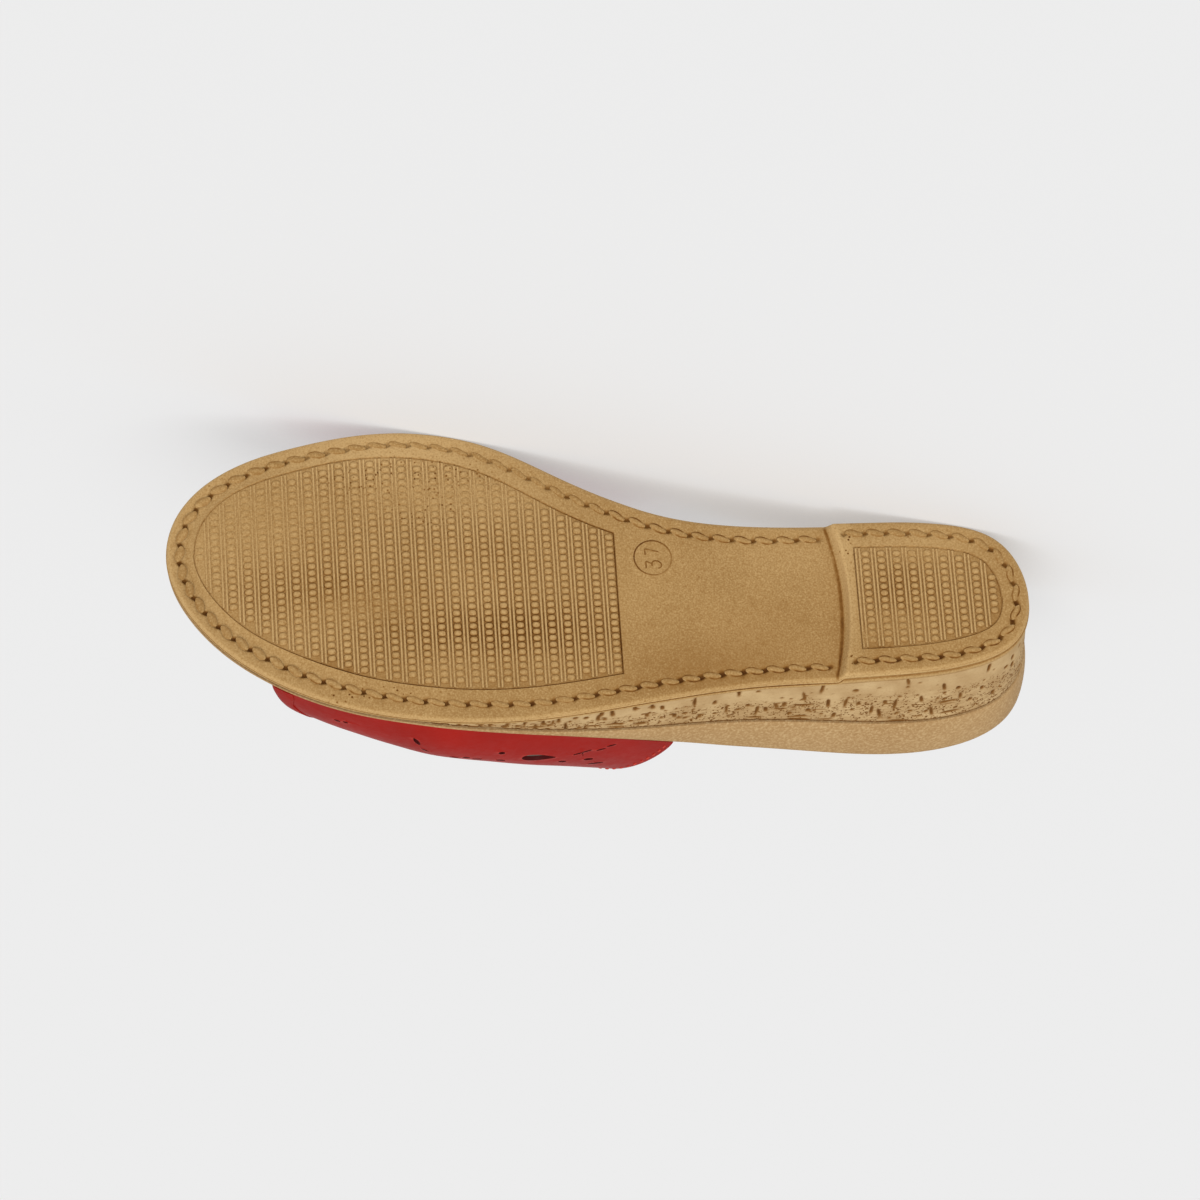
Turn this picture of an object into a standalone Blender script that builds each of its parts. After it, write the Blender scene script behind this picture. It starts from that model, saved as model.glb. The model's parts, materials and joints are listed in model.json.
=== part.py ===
"""Right-foot slide sandal: a cork-effect wedge sole, a cupped footbed and one
wide open-toe leather strap, resting on its medial side.

The shoe is drawn in its own frame, in millimetres: x runs from the heel to the
toe, y towards the medial side and z up from the ground. An empty then lays it
on its side: world +X points to the toe, the tread faces -Y and the lateral
side is up.
"""
import math

import bmesh
import bpy
import numpy as np
from mathutils import Matrix, Vector

MM = 0.001

# ---------------------------------------------------------------- dimensions
GAP = 0.3                  # between pieces that touch, mm
STATIONS = 44              # steps from heel to toe
COLUMNS = 6                # steps across the sole
EDGE_ROUND = 0.9           # rounding of the tread's edge
CORK_INSET = 0.2           # of the cork from the edge band and the rim

WAIST_START = 121.0        # where the waist leaves the ground
WAIST_RISE = 3.0           # height of the waist at the heel breast
BREAST_AT = 60.0           # heel breast on the centre line
BREAST_RUN = 2.4           # length of its slope
BREAST_BOW = 3.6           # how far its middle curves towards the heel
BOW_REACH = 16.0           # how far from the breast the rows still bow
BAND_LIP = 0.3             # of the edge band over the cork

SOCK_THICKNESS = 1.3
SOCK_ROUND = 0.4           # rounding of the sock's edge
LEDGE_WIDTH = 3.2          # the footbed's ledge that carries the strap
RIM_ROUND = 0.5            # rounding of the rim's top
CUP_DEPTH = 2.4            # dish of the footbed under the heel
CUP_END = 90.0             # where the dish has run out
ARCH_SUPPORT = 1.0         # rise of the footbed under the medial arch
ARCH_AT = 95.0
ARCH_REACH = 45.0

STRAP_THICKNESS = 2.4
STRAP_INSET = 0.2          # from the rim's outer face
STRAP_FRONT = 222.0        # strap's edges where it meets the rim
STRAP_BACK = 107.5
FRONT_SWEEP = 21.0         # how far each edge curves inwards over the foot
BACK_SWEEP = 31.0
FRONT_POWER = 1.3          # low values turn the edge early, close to the rim
BACK_POWER = 1.0
STRAP_ROWS = 10
STRAP_COLUMNS = 28
CROWN_SHIFT = 0.10         # crown towards the big toe, as a share of the width

# Edge of the tread seen from above
OUTLINE_NAMES = ("place", "x", "y")
OUTLINE = (
    ("heel back", 5.7, -10.5),
    ("heel back, lateral", 10.3, -24.0),
    ("heel, lateral", 24.0, -30.8),
    ("heel front, lateral", 50.0, -33.8),
    ("waist, lateral", 85.0, -35.6),
    ("waist front, lateral", 118.0, -40.6),
    ("ball, lateral", 150.0, -45.0),
    ("little toe", 178.0, -44.6),
    ("fourth toe", 204.0, -38.7),
    ("third toe", 226.0, -26.6),
    ("second toe", 242.0, -10.4),
    ("toe tip", 250.3, 9.5),
    ("big toe end", 246.5, 25.6),
    ("big toe", 233.0, 37.0),
    ("big toe joint", 212.0, 42.8),
    ("ball, medial", 188.0, 45.4),
    ("behind the ball", 160.0, 41.0),
    ("arch front", 138.0, 29.8),
    ("arch", 112.0, 18.2),
    ("arch rear", 88.0, 14.2),
    ("heel front, medial", 55.0, 13.7),
    ("heel, medial", 30.0, 12.8),
    ("heel back, medial", 12.7, 6.7),
)

# Toe spring: height of the tread above the ground
SPRING_NAMES = ("x", "height")
SPRING = (
    (183.0, 0.0), (193.0, 0.5), (203.0, 1.3), (214.0, 2.7), (223.0, 4.2),
    (232.0, 6.0), (241.0, 7.7), (250.3, 9.4),
)

# Layers of the side: x, top of the edge band, of the cork and of the rim above
# the ground, height of the footbed's platform, draft of the side and bulge of
# the rim. The toe spring is added to the heights.
LAYER_NAMES = ("x", "band", "cork", "rim", "platform", "draft", "bulge")
LAYERS = (
    (0.0, 4.2, 29.8, 47.5, 40.0, 0.095, 0.6),
    (24.0, 4.2, 29.4, 46.8, 39.0, 0.132, 0.9),
    (47.0, 4.3, 27.2, 44.6, 37.0, 0.145, 1.0),
    (72.0, 5.1, 23.6, 39.4, 33.4, 0.147, 1.0),
    (89.0, 4.2, 20.6, 34.2, 29.4, 0.147, 0.9),
    (107.0, 3.0, 17.3, 26.4, 23.6, 0.14, 0.6),
    (118.0, 2.3, 15.2, 21.6, 19.8, 0.13, 0.4),
    (130.0, 2.0, 12.6, 16.8, 16.2, 0.11, 0.3),
    (142.0, 1.9, 9.8, 12.4, 12.8, 0.09, 0.2),
    (159.0, 1.9, 6.2, 8.0, 9.4, 0.06, 0.1),
    (176.0, 1.9, 4.2, 5.6, 7.4, 0.03, 0.0),
    (190.0, 1.9, 3.5, 4.7, 6.6, 0.0, 0.0),
    (222.0, 1.9, 3.4, 4.5, 6.4, 0.0, 0.0),
    (251.0, 2.0, 3.5, 4.8, 6.4, 0.0, 0.0),
)

# Arch of the strap: x, height of the crown above the rim, squareness of the
# lateral and the medial shoulder, bulge of the lateral and the medial side
ARCH_NAMES = ("x", "crown", "square_lateral", "square_medial", "bulge_lateral", "bulge_medial")
ARCH = (
    (107.0, 51.0, 2.6, 2.3, 1.4, 3.0),
    (125.0, 50.0, 2.6, 2.3, 1.8, 4.0),
    (150.0, 48.0, 2.6, 3.2, 2.2, 4.4),
    (175.0, 45.0, 2.6, 3.2, 2.4, 4.4),
    (200.0, 38.0, 2.5, 2.8, 0.8, 3.2),
    (222.0, 30.0, 2.5, 2.6, 0.0, 1.0),
)

# Finish of each piece: colour, roughness
FINISHES = {
    "outsole": ((0.43, 0.27, 0.12), 0.7),
    "midsole": ((0.52, 0.38, 0.20), 0.85),
    "footbed": ((0.52, 0.35, 0.17), 0.65),
    "insole": ((0.50, 0.31, 0.16), 0.6),
    "upper": ((0.42, 0.03, 0.02), 0.45),
}


# ------------------------------------------------------------------- curves
def column(table, names, name):
    """x and one named column of a table, as arrays."""
    rows = np.array(table, dtype=float)
    return rows[:, 0], rows[:, names.index(name)]


def smooth(xs, values, x):
    """Value of a smooth curve through (xs, values) at x, level past its ends."""
    x = np.clip(x, xs[0], xs[-1])
    steps = np.diff(values) / np.diff(xs)
    tangents = np.concatenate(([steps[0]], (steps[:-1] + steps[1:]) / 2, [steps[-1]]))
    turning = np.concatenate(([False], steps[:-1] * steps[1:] <= 0, [False]))
    tangents[turning] = 0.0
    i = np.clip(np.searchsorted(xs, x) - 1, 0, len(xs) - 2)
    span = xs[i + 1] - xs[i]
    t = (x - xs[i]) / span
    start = (1 + 2 * t) * (1 - t) ** 2 * values[i] + t * (1 - t) ** 2 * span * tangents[i]
    end = t * t * (3 - 2 * t) * values[i + 1] - t * t * (1 - t) * span * tangents[i + 1]
    return start + end


def layer(name, x):
    """A column of LAYERS at x."""
    return smooth(*column(LAYERS, LAYER_NAMES, name), x)


def arch(name, x):
    """A column of ARCH at x."""
    return smooth(*column(ARCH, ARCH_NAMES, name), x)


def spring(x):
    """Height of the sprung tread above the ground."""
    return smooth(*column(SPRING, SPRING_NAMES, "height"), x)


def tread_height(x):
    """Underside of the sole: flat heel, raised waist, flat ball and sprung toe."""
    waist = WAIST_RISE * (WAIST_START - x) / (WAIST_START - BREAST_AT)
    heel = np.clip((BREAST_AT + BREAST_RUN / 2 - x) / BREAST_RUN, 0.0, 1.0)
    return spring(x) + np.clip(waist, 0.0, WAIST_RISE) * (1.0 - heel)


def closed_curve(points, steps=24):
    """Closed cubic spline through the points, with no break in its bend."""
    points = np.asarray(points, dtype=float)
    count = len(points)
    spans = np.linalg.norm(np.roll(points, -1, 0) - points, axis=1) ** 0.75
    matrix = np.zeros((count, count))
    right = np.zeros_like(points)
    for i in range(count):
        before, after = spans[i - 1], spans[i]
        previous, following = points[i - 1], points[(i + 1) % count]
        matrix[i, (i - 1) % count] += after
        matrix[i, i] += 2 * (before + after)
        matrix[i, (i + 1) % count] += before
        right[i] = 3 * (after * (points[i] - previous) / before + before * (following - points[i]) / after)
    tangents = np.linalg.solve(matrix, right)
    t = np.linspace(0, 1, steps, endpoint=False)[:, None]
    pieces = []
    for i in range(count):
        j = (i + 1) % count
        pieces.append((2 * t**3 - 3 * t**2 + 1) * points[i] + (3 * t**2 - 2 * t**3) * points[j]
                      + spans[i] * ((t**3 - 2 * t**2 + t) * tangents[i] + (t**3 - t**2) * tangents[j]))
    return np.vstack(pieces)


def sole_edge():
    """The tread's edge as matched stations: heel, lateral side, toe, medial side.

    Station i of the lateral side has the same x as station -i, on the medial side.
    """
    x, y = OUTLINE_NAMES.index("x"), OUTLINE_NAMES.index("y")
    curve = closed_curve([(row[x], row[y]) for row in OUTLINE])
    heel, toe = curve[:, 0].argmin(), curve[:, 0].argmax()
    curve = np.roll(curve, -heel, axis=0)
    toe = (toe - heel) % len(curve)
    lateral, medial = curve[:toe + 1], np.vstack([curve[:1], curve[:toe - 1:-1]])
    turn = np.linspace(0, math.pi, STATIONS + 1)
    xs = lateral[0, 0] + (lateral[-1, 0] - lateral[0, 0]) * (1 - np.cos(turn)) / 2
    for place in (BREAST_AT - BREAST_RUN / 2, BREAST_AT + BREAST_RUN / 2):
        xs[np.abs(xs - place).argmin()] = place
    sides = [np.column_stack([xs, np.interp(xs, side[:, 0], side[:, 1])]) for side in (lateral, medial)]
    return np.vstack([sides[0], sides[1][-2:0:-1]])


EDGE = sole_edge()


def outward(ring):
    """Unit normals of a ring seen from above."""
    along = np.roll(ring, -1, 0)[:, :2] - np.roll(ring, 1, 0)[:, :2]
    normals = np.column_stack([-along[:, 1], along[:, 0]])
    normals /= np.linalg.norm(normals, axis=1)[:, None]
    return normals if normals[0, 0] < 0 else -normals


def ring(offset, height):
    """The sole's edge moved outwards by offset, at a height; both may vary with x."""
    x = EDGE[:, 0]
    offset = offset(x) if callable(offset) else np.full(len(x), offset)
    plan = EDGE + outward(EDGE) * offset[:, None]
    return np.column_stack([plan, height(x)])


def side_offset(height):
    """Draft of the sole's side at a height."""
    return lambda x: layer("draft", x) * np.maximum(height(x) - tread_height(x), 0)


# ------------------------------------------------------------------- solids
def cap(bm, verts, shape):
    """Close a ring of verts with rows across, from the heel to the toe.

    shape takes x, the share across from lateral to medial, and a point's flat
    height, and gives its x and height.
    """
    count = len(verts)
    rows = [[verts[0]]]
    for i in range(1, count // 2):
        first, last = verts[i].co, verts[count - i].co
        row = [verts[i]]
        for k in range(1, COLUMNS):
            share = k / COLUMNS
            point = first.lerp(last, share)
            point.x, point.z = shape(point.x, share, point.z)
            row.append(bm.verts.new(point))
        rows.append(row + [verts[count - i]])
    rows.append([verts[count // 2]])
    for here, there in zip(rows, rows[1:]):
        for k in range(max(len(here), len(there)) - 1):
            corners = [here[min(k, len(here) - 1)], here[min(k + 1, len(here) - 1)],
                       there[min(k + 1, len(there) - 1)], there[min(k, len(there) - 1)]]
            bm.faces.new(dict.fromkeys(corners))


def add_object(name, bm):
    """Finish a bmesh as a named object with its own material."""
    bmesh.ops.scale(bm, vec=Vector((MM, MM, MM)), verts=bm.verts)
    bmesh.ops.recalc_face_normals(bm, faces=bm.faces)
    mesh = bpy.data.meshes.new(name)
    bm.to_mesh(mesh)
    bm.free()
    mesh.shade_smooth()
    mesh.set_sharp_from_angle(angle=math.radians(35))
    colour, roughness = FINISHES[name]
    material = bpy.data.materials.new(name)
    material.use_nodes = True
    shader = material.node_tree.nodes["Principled BSDF"]
    shader.inputs["Base Color"].default_value = (*colour, 1.0)
    shader.inputs["Roughness"].default_value = roughness
    mesh.materials.append(material)
    piece = bpy.data.objects.new(name, mesh)
    bpy.context.collection.objects.link(piece)
    return piece


def loft(name, rings, under, over):
    """A solid from rings, lowest first, closed by caps shaped by under and over."""
    bm = bmesh.new()
    loops = [[bm.verts.new(Vector(point)) for point in ring_points] for ring_points in rings]
    for low, high in zip(loops, loops[1:]):
        for k in range(len(low)):
            following = (k + 1) % len(low)
            bm.faces.new((low[k], low[following], high[following], high[k]))
    cap(bm, loops[0], under)
    cap(bm, loops[-1], over)
    return add_object(name, bm)


def flat(x, share, z):
    """A cap that stays straight from side to side."""
    return x, z


def bowed(x, share, z):
    """The tread's cap: its rows near the heel breast bow towards the heel."""
    reach = max(0.0, 1.0 - abs(x - BREAST_AT) / BOW_REACH)
    return x - BREAST_BOW * 4 * share * (1 - share) * reach, z


def footbed_shape(x, share, z):
    """Cup under the heel and support under the medial arch."""
    cup = max(0.0, 1.0 - (x / CUP_END) ** 2) * 4 * share * (1 - share)
    support = max(0.0, 1.0 - ((x - ARCH_AT) / ARCH_REACH) ** 2) * 6.75 * share**2 * (1 - share)
    return x, z - CUP_DEPTH * cup + ARCH_SUPPORT * support


# ------------------------------------------------------------------- pieces
def outsole():
    """Tread unit: edge band, raised waist and moulded heel lift."""
    band = lambda x: layer("band", x) + spring(x)
    low = lambda x: tread_height(x) + EDGE_ROUND
    return loft("outsole", [
        ring(-EDGE_ROUND, tread_height),
        ring(0.0, low),
        ring(lambda x: side_offset(band)(x) + BAND_LIP, lambda x: band(x) - 2 * BAND_LIP),
        ring(side_offset(band), band),
    ], bowed, flat)


def midsole():
    """Cork-effect wedge, set in a little under the edge band and the rim."""
    low = lambda x: layer("band", x) + spring(x) + GAP
    high = lambda x: layer("cork", x) + spring(x)
    return loft("midsole", [
        ring(lambda x: side_offset(low)(x) - CORK_INSET, low),
        ring(lambda x: side_offset(high)(x) - CORK_INSET, high),
    ], flat, flat)


def rim_height(share):
    """Height of the rim, share of the way up from the cork."""
    def height(x):
        low = layer("cork", x) + GAP
        return low + (layer("rim", x) - low) * share + spring(x)
    return height


def rim_offset(share):
    """Outer face of the rim, share of the way up from the cork to the rim's top."""
    def offset(x):
        return side_offset(rim_height(share))(x) + layer("bulge", x) * math.sin(math.pi * share) ** 0.6
    return offset


def platform_height(x):
    """Edge of the footbed's platform, inside the rim."""
    return layer("platform", x) + spring(x)


def footbed():
    """Rim and cup: a ledge for the strap around a platform for the sock."""
    rings = [ring(rim_offset(share), rim_height(share)) for share in (0.0, 0.3, 0.6, 0.88)]
    top = rim_height(1.0)
    for inset, height in ((RIM_ROUND, top), (LEDGE_WIDTH, top), (LEDGE_WIDTH + GAP, platform_height)):
        rings.append(ring(lambda x, inset=inset: rim_offset(1.0)(x) - inset, height))
    return loft("footbed", rings, flat, footbed_shape)


def insole():
    """Leather sock on the footbed's platform."""
    inset = lambda x: rim_offset(1.0)(x) - LEDGE_WIDTH - 2 * GAP
    low = lambda x: platform_height(x) + GAP
    high = lambda x: low(x) + SOCK_THICKNESS
    return loft("insole", [
        ring(inset, low),
        ring(inset, lambda x: high(x) - SOCK_ROUND),
        ring(lambda x: inset(x) - SOCK_ROUND, high),
    ], footbed_shape, footbed_shape)


def strap_foot(x, side):
    """Where the strap's outer face leaves the rim, on one side."""
    foot = ring(lambda place: rim_offset(1.0)(place) - STRAP_INSET, rim_height(1.0))
    half = len(foot) // 2
    rows = foot[:half + 1] if side == "lateral" else np.vstack([foot[:1], foot[:half - 1:-1]])
    return np.interp(x, rows[:, 0], rows[:, 1])


def strap_point(along, around):
    """Outer face of the strap: along from front to back, around from lateral to medial."""
    sweep = math.sin(math.pi * around)
    front = STRAP_FRONT - FRONT_SWEEP * sweep**FRONT_POWER
    back = STRAP_BACK + BACK_SWEEP * sweep**BACK_POWER
    x = front + (back - front) * along
    lateral, medial = strap_foot(x, "lateral"), strap_foot(x, "medial")
    crown = (lateral + medial) / 2 + CROWN_SHIFT * (medial - lateral)
    side, edge, way = ("lateral", lateral, -1) if around <= 0.5 else ("medial", medial, 1)
    power = 2.0 / arch("square_" + side, x)
    rise = math.sin(math.pi * around) ** power
    reach = abs(math.cos(math.pi * around)) ** power
    bulge = arch("bulge_" + side, x) * math.sin(math.pi * rise)
    height = float(rim_height(1.0)(x)) + GAP + arch("crown", x) * rise
    return np.array([x, crown + (edge - crown) * reach + way * bulge, height])


def upper():
    """One wide strap with a wall of even thickness, standing on the footbed's ledge."""
    outer = np.array([[strap_point(row / STRAP_ROWS, k / STRAP_COLUMNS) for k in range(STRAP_COLUMNS + 1)]
                      for row in range(STRAP_ROWS + 1)])
    normals = np.cross(np.gradient(outer, axis=0), np.gradient(outer, axis=1))
    normals[:, (0, -1), 2] = 0.0
    normals /= np.linalg.norm(normals, axis=2)[:, :, None]
    if normals[0, STRAP_COLUMNS // 2, 2] < 0:
        normals = -normals
    inner = outer - normals * STRAP_THICKNESS
    bm = bmesh.new()
    skins = [[[bm.verts.new(Vector(point)) for point in row] for row in skin] for skin in (outer, inner)]
    for skin in skins:
        for r in range(STRAP_ROWS):
            for k in range(STRAP_COLUMNS):
                bm.faces.new((skin[r][k], skin[r][k + 1], skin[r + 1][k + 1], skin[r + 1][k]))
    out, back = skins
    edges = [[(r, 0) for r in range(STRAP_ROWS + 1)], [(r, STRAP_COLUMNS) for r in range(STRAP_ROWS + 1)],
             [(0, k) for k in range(STRAP_COLUMNS + 1)], [(STRAP_ROWS, k) for k in range(STRAP_COLUMNS + 1)]]
    for edge in edges:
        for (r, k), (s, m) in zip(edge, edge[1:]):
            bm.faces.new((out[r][k], out[s][m], back[s][m], back[r][k]))
    return add_object("upper", bm)


# ------------------------------------------------------------------ resting
def balance_point(pieces):
    """Centre of volume of the pieces."""
    total, moment = 0.0, Vector()
    for piece in pieces:
        piece.data.calc_loop_triangles()
        places = [vert.co for vert in piece.data.vertices]
        for triangle in piece.data.loop_triangles:
            a, b, c = (places[index] for index in triangle.vertices)
            volume = a.dot(b.cross(c)) / 6
            total += volume
            moment += volume * (a + b + c) / 4
    return moment / total


def resting_face(pieces):
    """The face of the pieces' hull that they lie on when laid on the medial side."""
    bm = bmesh.new()
    for piece in pieces:
        bm.from_mesh(piece.data)
    hull = bmesh.ops.convex_hull(bm, input=bm.verts, use_existing_faces=False)
    centre = balance_point(pieces)
    found = None
    for face in (item for item in hull["geom"] if isinstance(item, bmesh.types.BMFace)):
        corners = [vert.co.copy() for vert in face.verts]
        normal = (corners[1] - corners[0]).cross(corners[2] - corners[0]).normalized()
        if normal.dot(corners[0] - centre) < 0:
            normal = -normal
        foot = centre + normal * normal.dot(corners[0] - centre)
        turns = [normal.dot((b - a).cross(foot - a)) for a, b in zip(corners, corners[1:] + corners[:1])]
        inside = all(turn >= 0 for turn in turns) or all(turn <= 0 for turn in turns)
        if inside and (found is None or normal.y > found[0].y):
            found = (normal, corners)
    bm.free()
    return found


def lay_down(pieces):
    """Parent the pieces to an empty that lays the shoe on its medial side."""
    normal, corners = resting_face(pieces)
    toe = Vector((1, 0, 0))
    along = (toe - normal * toe.dot(normal)).normalized()
    up = -normal
    turn = Matrix((along, up.cross(along), up))
    places = [turn @ vert.co for piece in pieces for vert in piece.data.vertices]
    low = [min(place[k] for place in places) for k in range(3)]
    high = [max(place[k] for place in places) for k in range(3)]
    rest = bpy.data.objects.new("resting_place", None)
    bpy.context.collection.objects.link(rest)
    middle = Vector((low[0] + high[0], low[1] + high[1], 2 * low[2])) / 2
    rest.matrix_world = Matrix.Translation(-middle) @ turn.to_4x4()
    for piece in pieces:
        piece.parent = rest


def main():
    for old in list(bpy.data.objects):
        bpy.data.objects.remove(old, do_unlink=True)
    lay_down([outsole(), midsole(), footbed(), insole(), upper()])


main()
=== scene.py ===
"""Looks of a right-foot slide sandal that lies on its medial side.

The shoe is modelled in its own millimetres, x from heel to toe, y towards the
medial side and z up from the ground, and each finished mesh is then put where
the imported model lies. Every piece has an operator, and the panel lists them.
"""
import json
import math

import bmesh
import bpy
import numpy as np
from bpy.props import FloatProperty, FloatVectorProperty, IntProperty, PointerProperty
from mathutils import Matrix, Vector


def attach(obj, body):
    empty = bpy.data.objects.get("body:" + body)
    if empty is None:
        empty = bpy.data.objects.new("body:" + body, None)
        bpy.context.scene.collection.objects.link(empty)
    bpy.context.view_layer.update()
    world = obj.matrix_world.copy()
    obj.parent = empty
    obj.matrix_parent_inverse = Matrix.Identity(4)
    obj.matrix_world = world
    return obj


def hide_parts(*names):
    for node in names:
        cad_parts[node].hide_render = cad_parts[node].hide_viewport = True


bl_info = {
    "name": "Slide Sandal",
    "version": (1, 0, 0),
    "blender": (4, 5, 0),
    "location": "View3D > Sidebar > Sandal",
    "description": "Cork-effect wedge slide with a studded tread and a punched leather strap",
    "category": "Object",
}

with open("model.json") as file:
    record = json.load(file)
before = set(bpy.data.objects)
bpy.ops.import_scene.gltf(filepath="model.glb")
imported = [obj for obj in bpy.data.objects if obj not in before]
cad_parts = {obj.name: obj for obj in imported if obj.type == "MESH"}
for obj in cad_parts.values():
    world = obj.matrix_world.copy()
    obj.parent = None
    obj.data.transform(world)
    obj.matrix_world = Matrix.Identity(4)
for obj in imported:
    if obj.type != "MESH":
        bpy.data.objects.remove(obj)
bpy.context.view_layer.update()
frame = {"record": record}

MM = 0.001
BODY = "root"

# ------------------------------------------------------------------- sizes
# All in millimetres, as in the solids
HALF = 700                 # stations on each side of the sole
ACROSS = 34                # steps across the tread between its borders
HEEL_SPOT = (32.0, -10.019, 0.0)   # the heel mount in the shoe's own frame

EDGE_ROUND = 0.9
CORK_INSET = 0.2
GAP = 0.3
WAIST_START = 121.0
WAIST_RISE = 3.0
BREAST_AT = 61.0
BREAST_RUN = 2.4
BREAST_BOW = 3.2
BOW_AHEAD = 16.0           # the bow runs out this far in front of the breast
BREAST_LIP = (1.9, 0.9, 0.22)   # raised bead: how far behind the breast, its reach and its height
MARGIN_FLAT = 1.4          # the margin is flat from this far inside its edge
CAP_INSET = 4.0            # hidden caps close a piece this far inside its side

SOCK_THICKNESS = 1.3
SOCK_ROUND = 0.4
LEDGE_WIDTH = 3.2
RIM_ROUND = 0.5
CUP_DEPTH = 2.4
CUP_END = 90.0
ARCH_SUPPORT = 1.0
ARCH_AT = 95.0
ARCH_REACH = 45.0
SOCK_COLUMNS = 60          # steps across the sock

STRAP_THICKNESS = 2.4
STRAP_INSET = 0.2
STRAP_FRONT = 222.0
STRAP_BACK = 107.5
FRONT_SWEEP = 21.0
BACK_SWEEP = 31.0
FRONT_POWER = 1.3
CROWN_SHIFT = 0.10

# Edge of the tread seen from above: place, x and y
OUTLINE = (
    ("heel back", 5.7, -10.5), ("heel back, lateral", 10.3, -24.0), ("heel, lateral", 24.0, -30.8),
    ("heel front, lateral", 50.0, -33.8), ("waist, lateral", 85.0, -35.6),
    ("waist front, lateral", 118.0, -40.6), ("ball, lateral", 150.0, -45.0),
    ("little toe", 178.0, -44.6), ("fourth toe", 204.0, -38.7), ("third toe", 226.0, -26.6),
    ("second toe", 242.0, -10.4), ("toe tip", 250.3, 9.5), ("big toe end", 246.5, 25.6),
    ("big toe", 233.0, 37.0), ("big toe joint", 212.0, 42.8), ("ball, medial", 188.0, 45.4),
    ("behind the ball", 160.0, 41.0), ("arch front", 138.0, 29.8), ("arch", 112.0, 18.2),
    ("arch rear", 88.0, 14.2), ("heel front, medial", 55.0, 13.7), ("heel, medial", 30.0, 12.8),
    ("heel back, medial", 12.7, 6.7),
)

# Toe spring: height of the tread above the ground
SPRING = (
    ("x", "height"),
    (183.0, 0.0), (193.0, 0.5), (203.0, 1.3), (214.0, 2.7), (223.0, 4.2),
    (232.0, 6.0), (241.0, 7.7), (250.3, 9.4),
)

# Layers of the side: top of the edge band, of the cork and of the rim, height
# of the footbed's platform, draft of the side and bulge of the rim
LAYERS = (
    ("x", "band", "cork", "rim", "platform", "draft", "bulge"),
    (0.0, 4.2, 29.8, 47.5, 40.0, 0.095, 0.6),
    (24.0, 4.2, 29.4, 46.8, 39.0, 0.132, 0.9),
    (47.0, 4.3, 27.2, 44.6, 37.0, 0.145, 1.0),
    (72.0, 5.1, 23.6, 39.4, 33.4, 0.147, 1.0),
    (89.0, 4.2, 20.6, 34.2, 29.4, 0.147, 0.9),
    (107.0, 3.0, 17.3, 26.4, 23.6, 0.14, 0.6),
    (118.0, 2.3, 15.2, 21.6, 19.8, 0.13, 0.4),
    (130.0, 2.0, 12.6, 16.8, 16.2, 0.11, 0.3),
    (142.0, 1.9, 9.8, 12.4, 12.8, 0.09, 0.2),
    (159.0, 1.9, 6.2, 8.0, 9.4, 0.06, 0.1),
    (176.0, 1.9, 4.2, 5.6, 7.4, 0.03, 0.0),
    (190.0, 1.9, 3.5, 4.7, 6.6, 0.0, 0.0),
    (222.0, 1.9, 3.4, 4.5, 6.4, 0.0, 0.0),
    (251.0, 2.0, 3.5, 4.8, 6.4, 0.0, 0.0),
)

# Arch of the strap: height of its crown above the rim, squareness of its
# shoulders and bulge of its sides
ARCH = (
    ("x", "crown", "square_lateral", "square_medial", "bulge_lateral", "bulge_medial"),
    (107.0, 51.0, 2.6, 2.3, 0.2, 3.0),
    (125.0, 50.0, 2.6, 2.3, 0.9, 4.0),
    (150.0, 48.0, 2.6, 3.2, 1.9, 4.4),
    (175.0, 45.0, 2.6, 3.2, 2.4, 4.4),
    (200.0, 38.0, 2.5, 2.8, 0.8, 3.2),
    (222.0, 30.0, 2.5, 2.6, 0.0, 1.0),
)

# Margin of the tread between its edge and the studded panels
MARGIN = (
    ("x", "lateral", "medial"),
    (5.0, 7.3, 7.5), (55.0, 7.7, 7.6), (90.0, 8.4, 8.6), (124.0, 9.2, 9.4), (150.0, 9.2, 8.5),
    (185.0, 9.7, 7.6), (205.0, 9.8, 7.1), (220.0, 9.3, 7.2), (235.0, 8.05, 7.05), (250.0, 7.2, 7.4),
)
# Line of the moulded stitches: its distance from the tread's edge
STITCH_LINE = (
    ("x", "lateral", "medial"),
    (9.0, 3.5, 3.5), (25.0, 3.2, 3.6), (45.0, 4.0, 3.5), (66.0, 4.1, 3.8), (85.0, 4.2, 4.5),
    (120.0, 4.6, 4.3), (145.0, 4.4, 4.25), (165.0, 5.0, 4.0), (185.0, 5.2, 3.9), (203.0, 5.3, 4.1),
    (215.0, 4.9, 4.0), (228.0, 4.5, 3.9), (240.0, 3.7, 3.75), (250.0, 3.45, 3.45),
)
SQUEEZE_BACK = 40.0        # between these two, inner rings keep the stations of the sole's edge
SQUEEZE_FRONT = 215.0
PANEL_BACK = 123.25        # forepart panel's straight back edge
HEEL_PANEL_FRONT = 55.0    # heel panel's straight front edge
GROOVE_STEP = 0.29         # half the width of the groove round a panel
PANEL_STEPS = (0.0, GROOVE_STEP, 2 * GROOVE_STEP, 1.0)   # rings inside a panel's border
STITCH_CLEAR = 3.4         # the stitch holes keep this far from the heel breast
STITCH_END = (-3.0, -1.5)  # from the breast, between which the heel's stitches fade out
STITCH_START = (1.0, 5.0)  # and the forepart's fade in
HOLE_ROOM = 1.2            # left between two moulded stitches for their hole
HOLE_TURN = math.radians(25)   # of the long stitch holes, outwards
HOLE_REACH = (1.04, 0.70)  # half the length and half the width of a stitch hole
HALO_REACH = (1.7, 1.0)   # and of the dark halo about it, painted dirt and shade
CHANNEL_REACH = 1.5        # half the width of the channel that the stitches lie in
HOLE_RINGS = (-1.35, -1.0, -0.72, -0.48, -0.24, 0.0, 0.24, 0.48, 0.72, 1.0, 1.4, 1.9)   # about the stitches

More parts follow.
